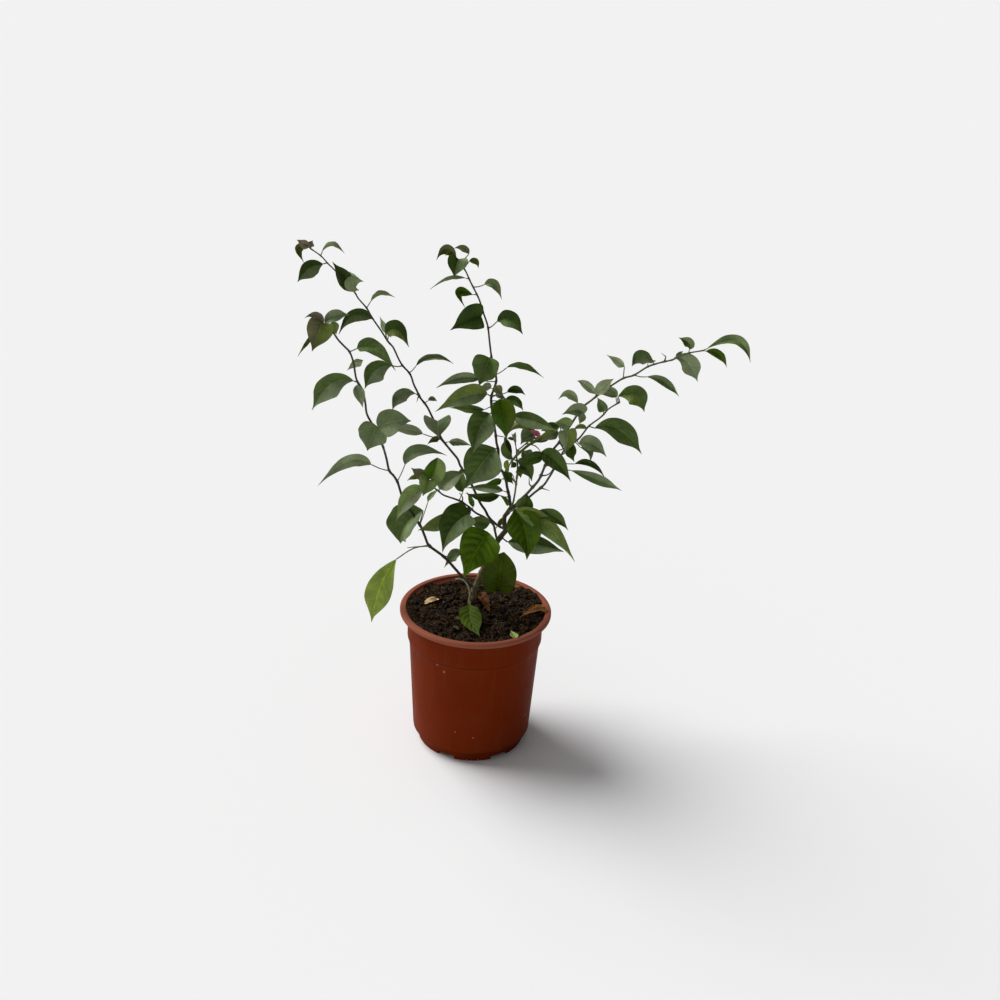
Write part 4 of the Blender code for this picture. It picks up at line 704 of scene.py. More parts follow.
# Centre shoot: the tallest in the middle, zigzag at half height.
centreShoot = {
    "stem": [
        (27.3, 238, -9), (26.6, 243, -9), (25.6, 249, -9), (23.3, 258, -9), (22, 265, -9),
        (19.5, 271.5, -9.5), (16, 277, -10), (14.6, 285, -10), (13.8, 293.3, -10), (12, 300, -10.5),
        (11, 307, -11), (9.3, 317, -12), (7.3, 327, -12), (6, 335, -13), (5.5, 343, -13),
        (7.5, 350, -13), (9.2, 357.3, -12), (8.4, 363, -12), (6, 372, -11), (4.1, 379.1, -10),
        (1.9, 392.7, -9), (-0.2, 406.1, -8), (-4.3, 417.3, -7), (-8.7, 429.6, -6), (-16.3, 443.8, -4),
        (-21.2, 453.5, -3), (-27, 458.5, -2),
    ],
    "bow": 22,
    "radii": (1.55, 0.7),
    "leaves": [
        ((-27, 458.5), (-29, 464, 1), (-38, 470.5, 3), (-45, 460.5, 6), 11, 30, "brown/olive"),
        ((-27, 458.5), (-18.5, 467, -3), (-23, 472.3, -2), (-31.5, 471, 1), 7, 20, "brown/grey"),
        ((-26, 458), (-27, 462.5, 2), (-28.5, 456, 4), (-30, 446.5, 6), 20, 0, "deep/grey", "heart"),
        ((-22, 454.5), (-18, 461, -1), (-12.5, 461, -2), (-10, 455.5, -3), 6, 10, "olive"),
        ((-17.5, 446), (-21, 446.5, 1), (-34, 446.5, 4), (-50, 435, 8), 5, 45, "grey"),
        ((-10.5, 433), (-14, 432.5, 1), (-25.5, 434.5, 4), (-20, 421.5, 8), 9, 20, "bright"),
        ((-5, 419), (-6, 414.5, 2), (-17, 411, 5), (-32, 400.5, 9), 25, 0, "deep", "heart"),
        ((-13.5, 439.5), (-4.5, 442, 1), (4, 441.5, 4), (10.7, 429.5, 7), 9, 20, "grey"),
        ((0, 404), (7.5, 410.5, 1), (18, 412.5, 4), (30, 400, 8), 16, 5, "deep/soft", "shoulder"),
        ((4.2, 379), (2.5, 378, 3), (-1, 366.5, 7), (-5.5, 352, 8), 29, -8, "soft", "heart"),
        ((9, 357), (-5, 358, -3), (-23, 358.5, 0), (-42.5, 348, 3), 11, 10, "silver/grey"),
        ((5.5, 343), (2, 345, 1), (-18, 342, 5), (-43, 326, 9), 19, 0, "moss/grey"),
        ((6.3, 334), (0, 330.5, 1), (-14, 331.5, 3), (-31, 330.5, 4), 9, 25, "soft"),
        ((8.4, 363), (18, 370.5, -2), (33, 370.5, -5), (50, 362.5, -8), 9, 50, "deep"),
        ((5.8, 344), (19, 347.5, -2), (27, 350.5, -4), (35, 345.5, -6), 8, 0, "deep"),
        ((8.5, 355), (9, 353, 3), (11.5, 349.5, 5), (15.5, 345.5, 5), 9, 0, "brown"),
        ((7.5, 350), (5, 350.5, -2), (1, 352, -4), (-4, 350.5, -5), 8, 0, "pale"),
        ((5.6, 342), (9, 344, 1), (13, 344, 2), (19, 341, 2), 6, 20, "pale/silver"),
        ((7.2, 328), (4.5, 327.5, 4), (-4, 310, 10), (-8.5, 288, 14), 27, 0, "soft/grey"),
        ((6, 336), (13, 341, 8), (17.5, 325, 15), (20.5, 303, 16), 24, 0, "mid/fern"),
        ((5.8, 339), (18, 341.5, 1), (27, 339.5, -1), (34, 331, -3), 9, 10, "mid/light"),
        ((8, 323), (24, 326, -2), (45, 321.5, 2), (64.7, 314, 5), 15, 0, "soft/grey"),
        ((8.6, 320), (24, 324.5, -3), (31, 324.5, -4), (40, 322, -5), 5, 0, "deep"),
        ((13.8, 294), (11, 295, 2), (-1, 278, 5), (-14, 255, 8), 40, 0, "soft/grey"),
        ((21, 268), (18, 265, 3), (11.5, 262.5, 5), (3, 260, 7), 7, 20, "mid"),
        ((24.5, 253), (20, 254.5, 5), (5, 256.5, 9), (-14, 255.5, 12), 9, 0, "soft/silver"),
        ((25.5, 249), (17, 250, 6), (2, 247.5, 9), (-14, 250.5, 10), 9, 10, "deep"),
        ((20.5, 269), (21.5, 271, 2), (22.5, 275, 3), (24, 279.5, 3), 4, 0, "light"),
        ((22, 264), (23, 264, 2), (25.5, 267, 3), (22, 271, 3), 6, 0, "deep"),
        ((26.6, 243), (24, 240, 4), (22.5, 246.5, 6), (15.5, 250.5, 7), 5, 40, "bright"),
        ((11, 307), (18.7, 305.9, 3), (22.8, 295.3, 6), (26.2, 283.1, 7), 6.5, 0, "deep"),
        ((19.5, 271.5), (19.3, 272.7, 3), (24.1, 267.3, 5), (28.8, 261.2, 6), 6, 0, "deep"),
    ],
}
growShoot("centreShoot", "centre_shoot", centreShoot, "dark", draw)

# Middle spray: thin pale stems with small leaves.
middleSpray = {
    "stem": [
        (27.3, 238, -9), (29.3, 243.5, -6), (30.2, 250, -5), (30.9, 258, -5), (31.4, 268, -4),
        (31.5, 280, -3), (30, 292, -2), (34, 297, -1), (38, 301, 0), (42, 305, 0), (46, 306.8, 0),
    ],
    "bow": -14,
    "radii": (1.1, 0.6),
    "leaves": [
        ((30, 292), (28.5, 301, 0), (27, 306, 0), (24.5, 309.5, 0), 3, 0, "pale"),
        ((30, 292), (28.5, 303, 0), (27.5, 308, 0), (28.5, 311.5, 0), 3, 0, "pale"),
        ((44, 306), (43.5, 311.5, -1), (31.5, 319, 1), (20.7, 307.4, 2), 9, 10, "pale/moss"),
        ((45, 306.5), (45, 310, -3), (39, 308.5, -4), (33, 299.5, -5), 17, 0, "grey"),
        ((31, 293.2), (35, 294, 1), (40, 290, 2), (47.6, 289.8, 3), 13, 0, "silver/grey"),
        ((31.5, 278), (33.5, 279, 1), (41, 275.5, 2), (44.8, 265, 3), 18, 0, "soft", "heart"),
        ((31.5, 277), (33, 275.5, 1), (34, 272, 2), (35, 267.5, 3), 5, 0, "olive"),
        ((31.5, 282), (30, 282, 2), (28, 280, 3), (25.5, 277, 3), 6, 0, "deep"),
        ((31.5, 283), (27, 286, 1), (19.5, 294, 2), (20, 304.5, 2), 8, 20, "soft"),
        ((29.8, 293.5), (27.5, 303.5, 2), (24, 305, 2), (20.5, 304.5, 2), 3, 0, "olive"),
        ((42, 305), (61, 312, 1), (54, 309, 3), (46.5, 304, 4), 7, 10, "moss"),
        ((31, 285), (22.5, 284.5, 3), (21.5, 279, 4), (22.4, 272.5, 4), 5, 0, "lime"),
        ((31, 262), (28, 270, 2), (23.5, 269, 3), (19.5, 264.5, 4), 7, 0, "moss"),
        ((31.3, 268), (36.5, 281, 1), (37, 283, 2), (37.5, 286.5, 2), 2, 0, "stub"),
        ((31, 262), (23.2, 275, 2), (34.4, 294.8, 4), (64.3, 312.2, 5), 2, 0, "stub"),
        ((38, 301), (45, 299.5, 1), (48.5, 297, 2), (52, 292.5, 2), 2, 0, "stub"),
        ((45, 306.5), (61.7, 310.3, 3), (39.8, 299.2, 4), (21.2, 273.6, 4), 2.6, 0, "moss/olive"),
        ((46, 306.8), (60.0, 309.8, 1), (52.3, 306.4, 2), (42.8, 301.5, 2), 8, 0, "deep"),
    ],
}
growShoot("middleSpray", "middle_spray", middleSpray, "green", draw)

# Right long shoot: the long arching one.
rightLongShoot = {
    "stem": [
        (27.3, 238, -9), (31.5, 241.5, -8.5), (35.5, 246.5, -8), (40.9, 252.6, -8), (46, 259.5, -7),
        (51.3, 267.5, -6), (55.9, 281.1, -4), (61.8, 296, -2), (66.7, 303.4, 0), (71, 312, 2),
        (76.9, 322.6, 4), (84.5, 336.6, 6), (92, 344, 8), (100, 351.5, 9.5), (108.1, 358.2, 11),
        (118.1, 365.6, 13), (127, 368.9, 14.5), (138.1, 377.1, 16), (150, 381.8, 18),
        (158.4, 384.3, 19), (165, 388.3, 20), (172.1, 391.2, 21), (184, 394, 22),
    ],
    "bow": 16,
    "radii": (1.5, 0.7),
    "leaves": [
        ((58, 287), (51.5, 293.5, 2), (66, 284.5, 4), (79.5, 266.7, 6), 17, 5, "soft/deep"),
        ((57, 284.5), (54.5, 289.5, 3), (44, 287, 9), (31.5, 277, 11), 12, 5, "deep"),
        ((61.5, 295), (61.5, 294, -2), (58, 290, -3), (54, 284.5, -4), 10, 0, "deep"),
        ((68.5, 307.5), (65.5, 313, 1), (58, 310, 3), (50.5, 303.5, 4), 12, 0, "moss/silver"),
        ((70, 310), (66.5, 318.5, 2), (58, 317, 4), (50, 313.2, 5), 11, 5, "deep/moss"),
        ((75.5, 320), (75, 319, 3), (69.5, 321.5, 5), (61, 321.5, 5), 13, 0, "light/silver"),
        ((72.5, 314.5), (73, 315, 3), (74, 306, 6), (72.5, 293.5, 7), 19, 0, "silver/moss", "heart"),
        ((83.5, 335), (80.5, 341, 1), (72, 349.5, 3), (63.5, 343, 5), 9, 20, "silver"),
        ((84.5, 336.6), (87, 331.5, 2), (79, 334.5, 4), (67.5, 329.5, 5), 14, 0, "silver/grey"),
        ((84.5, 336.6), (86.5, 332, 1), (85.2, 328, 2), (83.2, 321, 3), 8, 0, "grey"),
        ((95.5, 347.5), (95.5, 350, 2), (86, 358.5, 4), (78.6, 361, 5), 8, 10, "pale/silver"),
        ((95.5, 347.5), (96, 350, 1), (102.5, 358.5, 2), (110, 364.8, 1), 11, 0, "pale"),
        ((118, 365.6), (118, 376, 2), (112, 380.5, 3), (102, 385.8, 5), 8, 15, "pale/silver"),
        ((143, 380), (142, 382, 2), (131, 385, 5), (124.5, 376.5, 9), 14, 5, "soft/silver", "shoulder"),
        ((138, 377), (138, 381, 1), (141, 382, 0), (145, 382.8, -1), 3, 0, "pale"),
        ((127, 368.9), (138, 368, 1), (153, 364, 4), (167.5, 351.5, 7), 8, 15, "grey/soft", "shoulder"),
        ((151.5, 382.5), (152.5, 386.5, 1), (150.5, 388.3, 1), (148.5, 390, 1), 1.5, 0, "thorn"),
        ((158.5, 384.5), (160.5, 386, 2), (172, 382.5, 4), (182, 365.5, 7), 17, 0, "silver", "shoulder"),
        ((159, 384.7), (161, 387.3, -1), (164, 390.2, -2), (166.8, 392.6, -3), 3.4, 0, "moss"),
        ((171.5, 391), (172, 394, 1), (171, 400, 3), (161.5, 404.2, 5), 9, 5, "deep/grey", "shoulder"),
        ((183.5, 394), (186, 393.5, 2), (198, 390.5, 4), (205.5, 379.5, 6), 7.5, 5, "bright"),
        ((183.5, 394), (187, 396, 0), (211, 404, 2), (225, 385, 5), 10, 20, "grey/soft", "shoulder"),
        ((46, 259.5), (43, 262, 1), (42.6, 265, 1), (42.3, 268.5, 1), 2, 0, "stub"),
        ((55.9, 281.1), (60, 281.5, 2), (63.5, 285, 3), (65, 289.5, 3), 2, 0, "stub"),
        ((52.5, 271), (57.5, 271.8, 2), (61, 274.5, 3), (63, 279, 3), 2, 0, "stub"),
        ((67, 304), (72.3, 294.8, 2), (69.3, 291.1, 2), (67.3, 284.0, 2), 2, 0, "stub"),
        ((67, 304), (70.5, 298.1, 2), (66.7, 295.8, 2), (62.8, 292.5, 2), 2, 0, "stub"),
    ],
}
growShoot("rightLongShoot", "right_long_shoot", rightLongShoot, "olive", draw)

# Right second shoot, behind the long one.
rightSecondShoot = {
    "stem": [
        (25, 233.5, -9.5), (29, 237, -13.5), (35, 242.5, -14.5), (42.4, 248.8, -15), (48, 254.5, -15.5),
        (53, 259.2, -16), (56.6, 263.4, -16.5), (59.5, 269, -17), (62.3, 274.5, -17.5),
        (65.5, 282.5, -18), (68.8, 290.3, -19), (73.1, 298.6, -21), (83.3, 307.6, -24),
        (88, 314.5, -26), (91.8, 320.4, -28), (101.6, 329.2, -30), (107.9, 337.2, -32),
        (116.9, 343.8, -34),
    ],
    "bow": 0,
    "radii": (1.4, 0.8),
    "leaves": [
        ((53, 259), (57, 258.2, 1), (59.5, 257.4, 1), (61.5, 256.6, 1), 1.4, 0, "thorn"),
        ((80.5, 305), (78.5, 305.5, 2), (77, 297, 4), (81.5, 285.5, 5), 13, 0, "deep"),
        ((82, 306.5), (84, 303, 2), (97, 303, 3), (109.5, 291.5, 4), 15, 5, "silver/grey"),
        ((80.5, 305), (86, 299.5, 1), (94, 297, 2), (95, 285.5, 3), 7, 10, "grey"),
        ((66.5, 285), (82, 284, 0), (97, 284, 2), (110, 271, 5), 7, 20, "deep"),
        ((64.5, 280), (79, 277.5, 1), (102, 270.5, 3), (125, 260.5, 6), 10, 0, "silver/soft", "shoulder"),
        ((91, 319), (90, 317.5, 1), (84, 319.5, 1.5), (77.5, 314.5, 2), 5, 0, "moss"),
        ((91.5, 320), (97, 318.5, 2), (118, 318.5, 5), (140, 296, 8), 21, 0, "soft", "shoulder"),
        ((103.5, 332), (103.5, 334, 2), (101, 340.5, 3), (97, 347, 3), 10, 0, "soft/grey"),
        ((115.5, 343), (114, 348, 1), (108, 354, 2), (98, 352.5, 3), 8, 10, "silver/moss"),
        ((114.5, 342), (113, 348, 0), (106, 350.5, 0), (97.5, 350, 0), 5, 0, "silver"),
        ((116.5, 343.7), (115, 349, 2), (129.5, 350.5, 4), (138.7, 335.5, 7), 21, 0, "soft/moss", "shoulder"),
    ],
}
growShoot("rightSecondShoot", "right_second_shoot", rightSecondShoot, "olive", draw)

# Right low spray: bright leaves under the fork.
rightLowSpray = {
    "stem": [(25, 233.5, -9.5), (29, 235.8, -5), (34, 237, -3), (40, 236, -3)],
    "bow": 4,
    "radii": (1.2, 0.9),
    "leaves": [
        ((31.5, 236.7), (31, 237, 3), (42.3, 214, 6), (44.5, 187, 8), 34, 0, "bright"),
        ((36, 236.8), (37.5, 234, 1), (40, 243, 1), (41.5, 253.5, 0), 18, 0, "light/mid"),
        ((33, 237), (31.5, 237.5, 5), (62, 221, 11), (88.5, 187, 16), 18, -5, "moss/light"),
        ((40, 236), (45, 230.5, 0), (64, 232.5, 3), (80.5, 218.5, 6), 13, 10, "soft/deep", "shoulder"),
    ],
}
growShoot("rightLowSpray", "right_low_spray", rightLowSpray, "green", draw)

# Single leaves low on the trunk.
rightLowLeaf = {
    "stem": [(20, 209.3, -14.2), (22.5, 207, -16), (25.5, 204.7, -17.5)],
    "radii": (0.9, 0.7),
    "leaves": [((25.5, 204.7), (26.5, 204.3, 0), (54, 202.5, 1), (78, 197, 3), 20, 0, "deep/grey")],
}
growShoot("rightLowLeaf", "right_low_leaf", rightLowLeaf, "green", draw)

frontBigLeaf = {
    "stem": [(14.5, 198.5, -14.8), (13.5, 204, -9), (11, 209.5, -6.5)],
    "radii": (1.0, 0.8),
    "leaves": [((11, 209.5), (9.5, 212, 1), (-2, 193, 6), (-12.5, 164.5, 10), 40, 0, "fresh")],
}
growShoot("frontBigLeaf", "front_big_leaf", frontBigLeaf, "green", draw)

roundLowLeaf = {
    "stem": [(-0.5, 158, -17.3), (5, 158.8, -13), (12, 158, -10.5), (17, 156, -9.5)],
    "held": (0,),
    "radii": (0.9, 0.8),
    "leaves": [((17, 156), (20, 155, 0), (21, 173, 4), (23.5, 194, 0), 34, 0, "fern", "round")],
}
growShoot("roundLowLeaf", "round_low_leaf", roundLowLeaf, "green", draw)

frontLowLeaf = {
    "stem": [(-4, 142, -18), (-5, 140.5, -12.5), (-5.5, 138.5, -8)],
    "held": (0,),
    "radii": (0.9, 0.8),
    "leaves": [((-5.5, 138.5), (-5.3, 137.5, 4), (-3.6, 121, 41.5), (5.3, 104.5, 69.5), 21, "up", "fern", "ovate", 8)],
}
growShoot("frontLowLeaf", "front_low_leaf", frontLowLeaf, "green", draw)


# The pot: a turned profile in plastic, with the gaps and slits of its foot ring and its drain holes.
potPlan = {
    "rimRadius": 70.0, "height": 135.9, "lipDepth": 4.5, "lipInnerRadius": 64.3, "collarRadius": 62.6,
    "collarBottom": 106.8, "collarStep": 1.0, "stepBottom": 97.5, "bodyTopRadius": 60.3, "bodyBottomRadius": 55.2,
    "bodyBottom": 11.5, "cornerRise": 2.4, "footRadius": 50.2, "footHeight": 8.6, "wall": 1.4,
    "floorUnderside": 5.6, "floorTop": 7.0, "floorRadius": 46.8, "footWall": 1.8, "padRadius": 12.0, "sides": 176,
    "feet": 6, "footTurn": 4.4, "footGap": 17.5, "footGapHeight": 3.6, "toothGap": 1.6,
    "toothGapHeight": 1.8, "toothGapTurn": 6.0, "drainHoles": 8, "drainHoleRadius": 4.0, "drainCircleRadius": 36.0,
}


def wallInside(height):
    share = (height - potPlan["bodyBottom"]) / (potPlan["height"] - potPlan["lipDepth"] - potPlan["bodyBottom"])
    return potPlan["bodyBottomRadius"] - potPlan["wall"] + (potPlan["collarRadius"] - potPlan["bodyBottomRadius"]) * share


def arcPoints(centre, radius, start, end, count):
    return [
        (centre[0] + radius * math.cos(math.radians(start + (end - start) * i / count)),
         centre[1] + radius * math.sin(math.radians(start + (end - start) * i / count)))
        for i in range(count + 1)
    ]


def potProfile(plan):
    top = plan["height"]
    under = top - plan["lipDepth"]
    rim = plan["rimRadius"]
    inner = plan["lipInnerRadius"]
    wall = []
    for index in range(13):
        height = plan["bodyBottom"] + 1.0 + (plan["stepBottom"] - 1.0 - plan["bodyBottom"]) * (12 - index) / 12
        share = (height - plan["bodyBottom"]) / (plan["stepBottom"] - plan["bodyBottom"])
        wall.append((plan["bodyBottomRadius"] + (plan["bodyTopRadius"] - plan["bodyBottomRadius"]) * share, height))
    return [
        (0.0, plan["floorTop"]), (plan["padRadius"], plan["floorTop"]),
        *arcPoints((plan["floorRadius"] - 0.4, plan["floorTop"] + 1.0), 1.0, -90, -40, 4),
        (plan["bodyBottomRadius"] - plan["wall"], plan["bodyBottom"] + plan["cornerRise"]),
        (wallInside(60.0), 60.0), (wallInside(under - 0.1), under - 0.1), (inner - 0.2, under + 2.5),
        (inner, top - 1.2), *arcPoints((inner + 1.2, top - 1.2), 1.2, 180, 90, 6)[1:],
        ((inner + rim) / 2, top + 0.1), *arcPoints((rim - 1.9, top - 1.9), 1.9, 90, 0, 9),
        *arcPoints((rim - 1.5, top - 3.1), 1.5, 0, -80, 7),
        (plan["collarRadius"] + 0.9, under), *arcPoints((plan["collarRadius"] + 0.9, under - 0.9), 0.9, 90, 180, 4)[1:],
        (plan["collarRadius"] - 0.05, plan["collarBottom"] + 6.0),
        (plan["collarRadius"] - 0.1, plan["collarBottom"] + 0.7), (plan["collarRadius"] - 0.3, plan["collarBottom"]),
        (plan["collarRadius"] - 0.75, plan["collarBottom"] - 0.6),
        (plan["collarRadius"] - plan["collarStep"], plan["collarBottom"] - 1.4),
        (plan["collarRadius"] - plan["collarStep"] - 0.55, plan["collarBottom"] - 3.8),
        (plan["bodyTopRadius"] + 0.3, plan["stepBottom"] + 2.5),
        *wall,
        *arcPoints((plan["bodyBottomRadius"] - 1.0, plan["bodyBottom"] + 0.7), 1.0, -2, -55, 5),
        (plan["footRadius"] + 1.3, plan["footHeight"] + 0.8), (plan["footRadius"] + 0.5, plan["footHeight"] + 0.1),
        (plan["footRadius"] + 0.1, plan["footHeight"] - 0.8), (plan["footRadius"] - 0.3, 0.5),
        (plan["footRadius"] - 0.7, 0.0), (plan["footRadius"] - plan["footWall"] + 0.3, 0.0),
        (plan["footRadius"] - plan["footWall"], 0.4),
        (plan["footRadius"] - plan["footWall"] - 0.2, plan["floorUnderside"]),
        (plan["padRadius"] + 1.0, plan["floorUnderside"]), (plan["padRadius"] + 0.4, 0.4),
        (plan["padRadius"], 0.0), (0.0, 0.0),
    ]


def turnProfile(profile, steps):
    shape = bmesh.new()
    verts = [shape.verts.new((radius * mm, 0.0, height * mm)) for radius, height in profile]
    edges = [shape.edges.new(pair) for pair in zip(verts, verts[1:])]
    bmesh.ops.spin(
        shape, geom=verts + edges, cent=(0, 0, 0), axis=(0, 0, 1), angle=2 * math.pi, steps=steps,
        use_merge=True, use_duplicate=False,
    )
    bmesh.ops.remove_doubles(shape, verts=shape.verts, dist=1e-6)
    bmesh.ops.recalc_face_normals(shape, faces=shape.faces)
    return shape


def makePot(plan, material):
    shape = turnProfile(potProfile(plan), plan["sides"])
    mesh = bpy.data.meshes.new("pot")
    shape.to_mesh(mesh)
    shape.free()
    tools = bmesh.new()
    for foot in range(plan["feet"]):
        turn = plan["footTurn"] - 90.0 + 360.0 * foot / plan["feet"]
        gaps = [(turn + 180.0 / plan["feet"], plan["footGap"], plan["footGapHeight"])]
        gaps += [(turn + side * plan["toothGapTurn"], plan["toothGap"], plan["toothGapHeight"]) for side in (-1, 1)]
        for angle, width, height in gaps:
            before = set(tools.verts)
            block = bmesh.ops.create_cube(tools, size=1.0)["verts"]
            bmesh.ops.scale(tools, verts=block, vec=Vector((6.0, width, 2 * height)) * mm)
            edges = list({edge for vertex in block for edge in vertex.link_edges})
            along = [edge for edge in edges if abs(edge.verts[0].co.x - edge.verts[1].co.x) > 1e-4]
            bmesh.ops.bevel(
                tools, geom=along, affect="EDGES", segments=3, profile=0.5, material=-1,
                offset=min(width, height) * 0.3 * mm, offset_type="OFFSET",
            )
            block = [vertex for vertex in tools.verts if vertex not in before]
            bmesh.ops.translate(tools, verts=block, vec=Vector((plan["footRadius"] * mm, 0, 0)))
            bmesh.ops.rotate(tools, verts=block, matrix=Matrix.Rotation(math.radians(angle), 3, "Z"))
    for hole in range(plan["drainHoles"]):
        angle = math.radians(22.5 + 360.0 * hole / plan["drainHoles"])
        drill = bmesh.ops.create_cone(
            tools, cap_ends=True, segments=32, radius1=plan["drainHoleRadius"] * mm,
            radius2=plan["drainHoleRadius"] * mm, depth=6.0 * mm,
        )["verts"]
        spot = Vector((math.cos(angle), math.sin(angle), 0)) * plan["drainCircleRadius"] * mm
        spot.z = (plan["floorTop"] + plan["floorUnderside"]) / 2 * mm
        bmesh.ops.translate(tools, verts=drill, vec=spot)
    toolMesh = bpy.data.meshes.new("potTools")
    tools.to_mesh(toolMesh)
    tools.free()
    cutter = bpy.data.objects.new("potTools", toolMesh)
    scene.collection.objects.link(cutter)
    pot = bpy.data.objects.new("potBlank", mesh)
    scene.collection.objects.link(pot)
    cutting = pot.modifiers.new("gaps", "BOOLEAN")
    cutting.operation = "DIFFERENCE"
    cutting.object = cutter
    bpy.context.view_layer.update()
    graph = bpy.context.evaluated_depsgraph_get()
    finished = bpy.data.meshes.new_from_object(pot.evaluated_get(graph))
    for used in (pot, cutter):
        bpy.data.objects.remove(used)
    return newPiece("potShell", finished, ["pot"], [material], 32.0)


potLook = {
    "colour": (0.15, 0.0165, 0.0004, 1.0), "lipColour": (0.27, 0.085, 0.05, 1.0), "dust": (0.42, 0.26, 0.19, 1.0),
    # The dark grime colour serves both the cloudy darkening of the foot and the painted shade in the creases.
    "grimeAndShade": (0.05, 0.008, 0.001, 1.0), "roughness": 0.52, "specular": 0.028,
    # Crease bands (height, reach, strength in mm) are painted shade: dark lines under the lip, under the collar step
    # and along the foot, where shadow falls.
    "creaseShade": [(131.0, 1.2, 0.4), (105.9, 1.0, 0.9), (10.6, 1.1, 0.8), (9.0, 2.6, 0.3)],
    "scuffs": [
        ((-31.8, -52.6, 103.3), 1.3, 0.55), ((-25.2, -54.8, 97.7), 1.6, 0.5), ((-13.2, -55.0, 34.4), 1.0, 0.5), ((3.6, -56.1, 29.6), 1.2, 0.45), ((51.0, -24.9, 37.2), 1.3, 0.4),
    ],
}


def makePotMaterial(look):
    made, tree, surface = newMaterial("pottedPlastic")
    spot = addNode(tree, "ShaderNodeTexCoord").outputs["Object"]
    parts = addNode(tree, "ShaderNodeSeparateXYZ", {"Vector": spot})
    clouds = useGroup(tree, mottle, {"Cloud Size": 0.03, "Grain Size": 0.0008})
    streaked = addNode(tree, "ShaderNodeMapping", {"Vector": spot, "Scale": (1.0, 1.0, 0.12)})
    streaks = addNode(tree, "ShaderNodeTexNoise", {"Vector": streaked.outputs[0], "Scale": 130.0, "Detail": 5.0})
    share = calc(tree, "MULTIPLY", ramp(tree, streaks.outputs["Fac"], 0.5, 0.8), 0.03)
    share = calc(tree, "MULTIPLY_ADD", clouds.outputs["Cloud"], 0.012, share)
    lip = ramp(tree, parts.outputs["Z"], 0.1305, 0.1325)
    colour = mixColour(tree, lip, look["colour"], look["lipColour"])
    colour = mixColour(tree, share, colour, look["dust"])
    # Darker towards the bottom of the foot, in cloudy patches.
    foot = calc(tree, "MULTIPLY", ramp(tree, parts.outputs["Z"], 0.022, 0.004), clouds.outputs["Cloud"])
    colour = mixColour(tree, calc(tree, "MULTIPLY", foot, 0.3), colour, look["grimeAndShade"])
    # Painted shade: each crease band darkens the colour towards the dark grime colour near its height, standing in for
    # the shadow in the crease.
    for height, reach, strength in look["creaseShade"]:
        away = calc(tree, "ABSOLUTE", calc(tree, "SUBTRACT", parts.outputs["Z"], height * mm))
        dark = calc(tree, "MULTIPLY", ramp(tree, away, reach * mm, 0.0), strength)
        colour = mixColour(tree, dark, colour, look["grimeAndShade"])
    for place3, reach, strength in look["scuffs"]:
        shift = addNode(tree, "ShaderNodeVectorMath", {0: spot, 1: [part * mm for part in place3]}, operation="DISTANCE")
        mark = ramp(tree, shift.outputs["Value"], reach * mm, reach * 0.4 * mm)
        colour = mixColour(tree, calc(tree, "MULTIPLY", mark, strength), colour, look["dust"])
    wire(tree, surface.inputs["Base Color"], colour)
    rough = ramp(tree, streaks.outputs["Fac"], 0.3, 0.7, look["roughness"] - 0.07, look["roughness"] + 0.1)
    wire(tree, surface.inputs["Roughness"], rough)
    surface.inputs["Specular IOR Level"].default_value = look["specular"]
    height = calc(tree, "MULTIPLY_ADD", streaks.outputs["Fac"], 0.6, clouds.outputs["Grain"])
    bump = addNode(tree, "ShaderNodeBump", {"Height": height, "Distance": 0.0001, "Strength": 0.5})
    wire(tree, surface.inputs["Normal"], bump.outputs["Normal"])
    return made


makePot(potPlan, makePotMaterial(potLook))
print("scene: pot is ready")

# Potting soil: a lumpy top on the packed soil's own height, and loose crumbs, splinters and grains.
soilPlan = {
    "level": 131.0, "heapCentre": (51.0, 31.0), "heapHeight": 3.6, "heapSpread": 11.0, "rings": 84, "sides": 300,
    "lumps": 1.8, "clods": 1.8, "crumbCount": 620, "flakeCount": 90, "splinterCount": 420, "grainCount": 70,
    "edgeRise": 2.7, "edgeReach": 3.1, "edgeWidth": 10.0, "seed": 5,
}


def soilHeight(x, y):
    lumps = 0.9 * math.sin(x / 9.0 + 0.7) * math.cos(y / 7.5 - 0.4) + 0.5 * math.sin((x + y) / 6.1 + 1.9)
    away = math.hypot(x - soilPlan["heapCentre"][0], y - soilPlan["heapCentre"][1])
    heap = soilPlan["heapHeight"] * math.exp(-((away / soilPlan["heapSpread"]) ** 2) / 2.0)
    return soilPlan["level"] + lumps + heap


# The loose soil lies higher near the rim, less so at the back.
def edgeRise(x, y):
    edge = wallInside(soilPlan["level"]) - 0.5
    brink = smoothstep(edge - soilPlan["edgeWidth"], edge, math.hypot(x, y))
    return soilPlan["edgeRise"] * (1 - 0.35 * smoothstep(20.0, 58.0, y)) * brink


def soilSurface(x, y):
    spot = Vector((x, y, 0))
    big = noise.fractal(spot / 7.0, 1.0, 2.0, 3)
    cells = noise.voronoi(spot / 5.2 + noise.noise_vector(spot / 4.0) * 0.35)[0][0]
    small = noise.voronoi(spot / 2.1 + Vector((7, 3, 0)))[0][0]
    rise = soilPlan["lumps"] * big + soilPlan["clods"] * (0.5 - cells) * 1.7 + 1.1 * (0.42 - small)
    return soilHeight(x, y) + rise + edgeRise(x, y)


def onSoil(across, height, lift):
    fore = 0.0
    for _ in range(12):
        spot = place(across, height, fore) / mm
        fore += (soilHeight(spot.x, spot.y) + edgeRise(spot.x, spot.y) + lift - spot.z) / 0.47
    return place(across, height, fore)


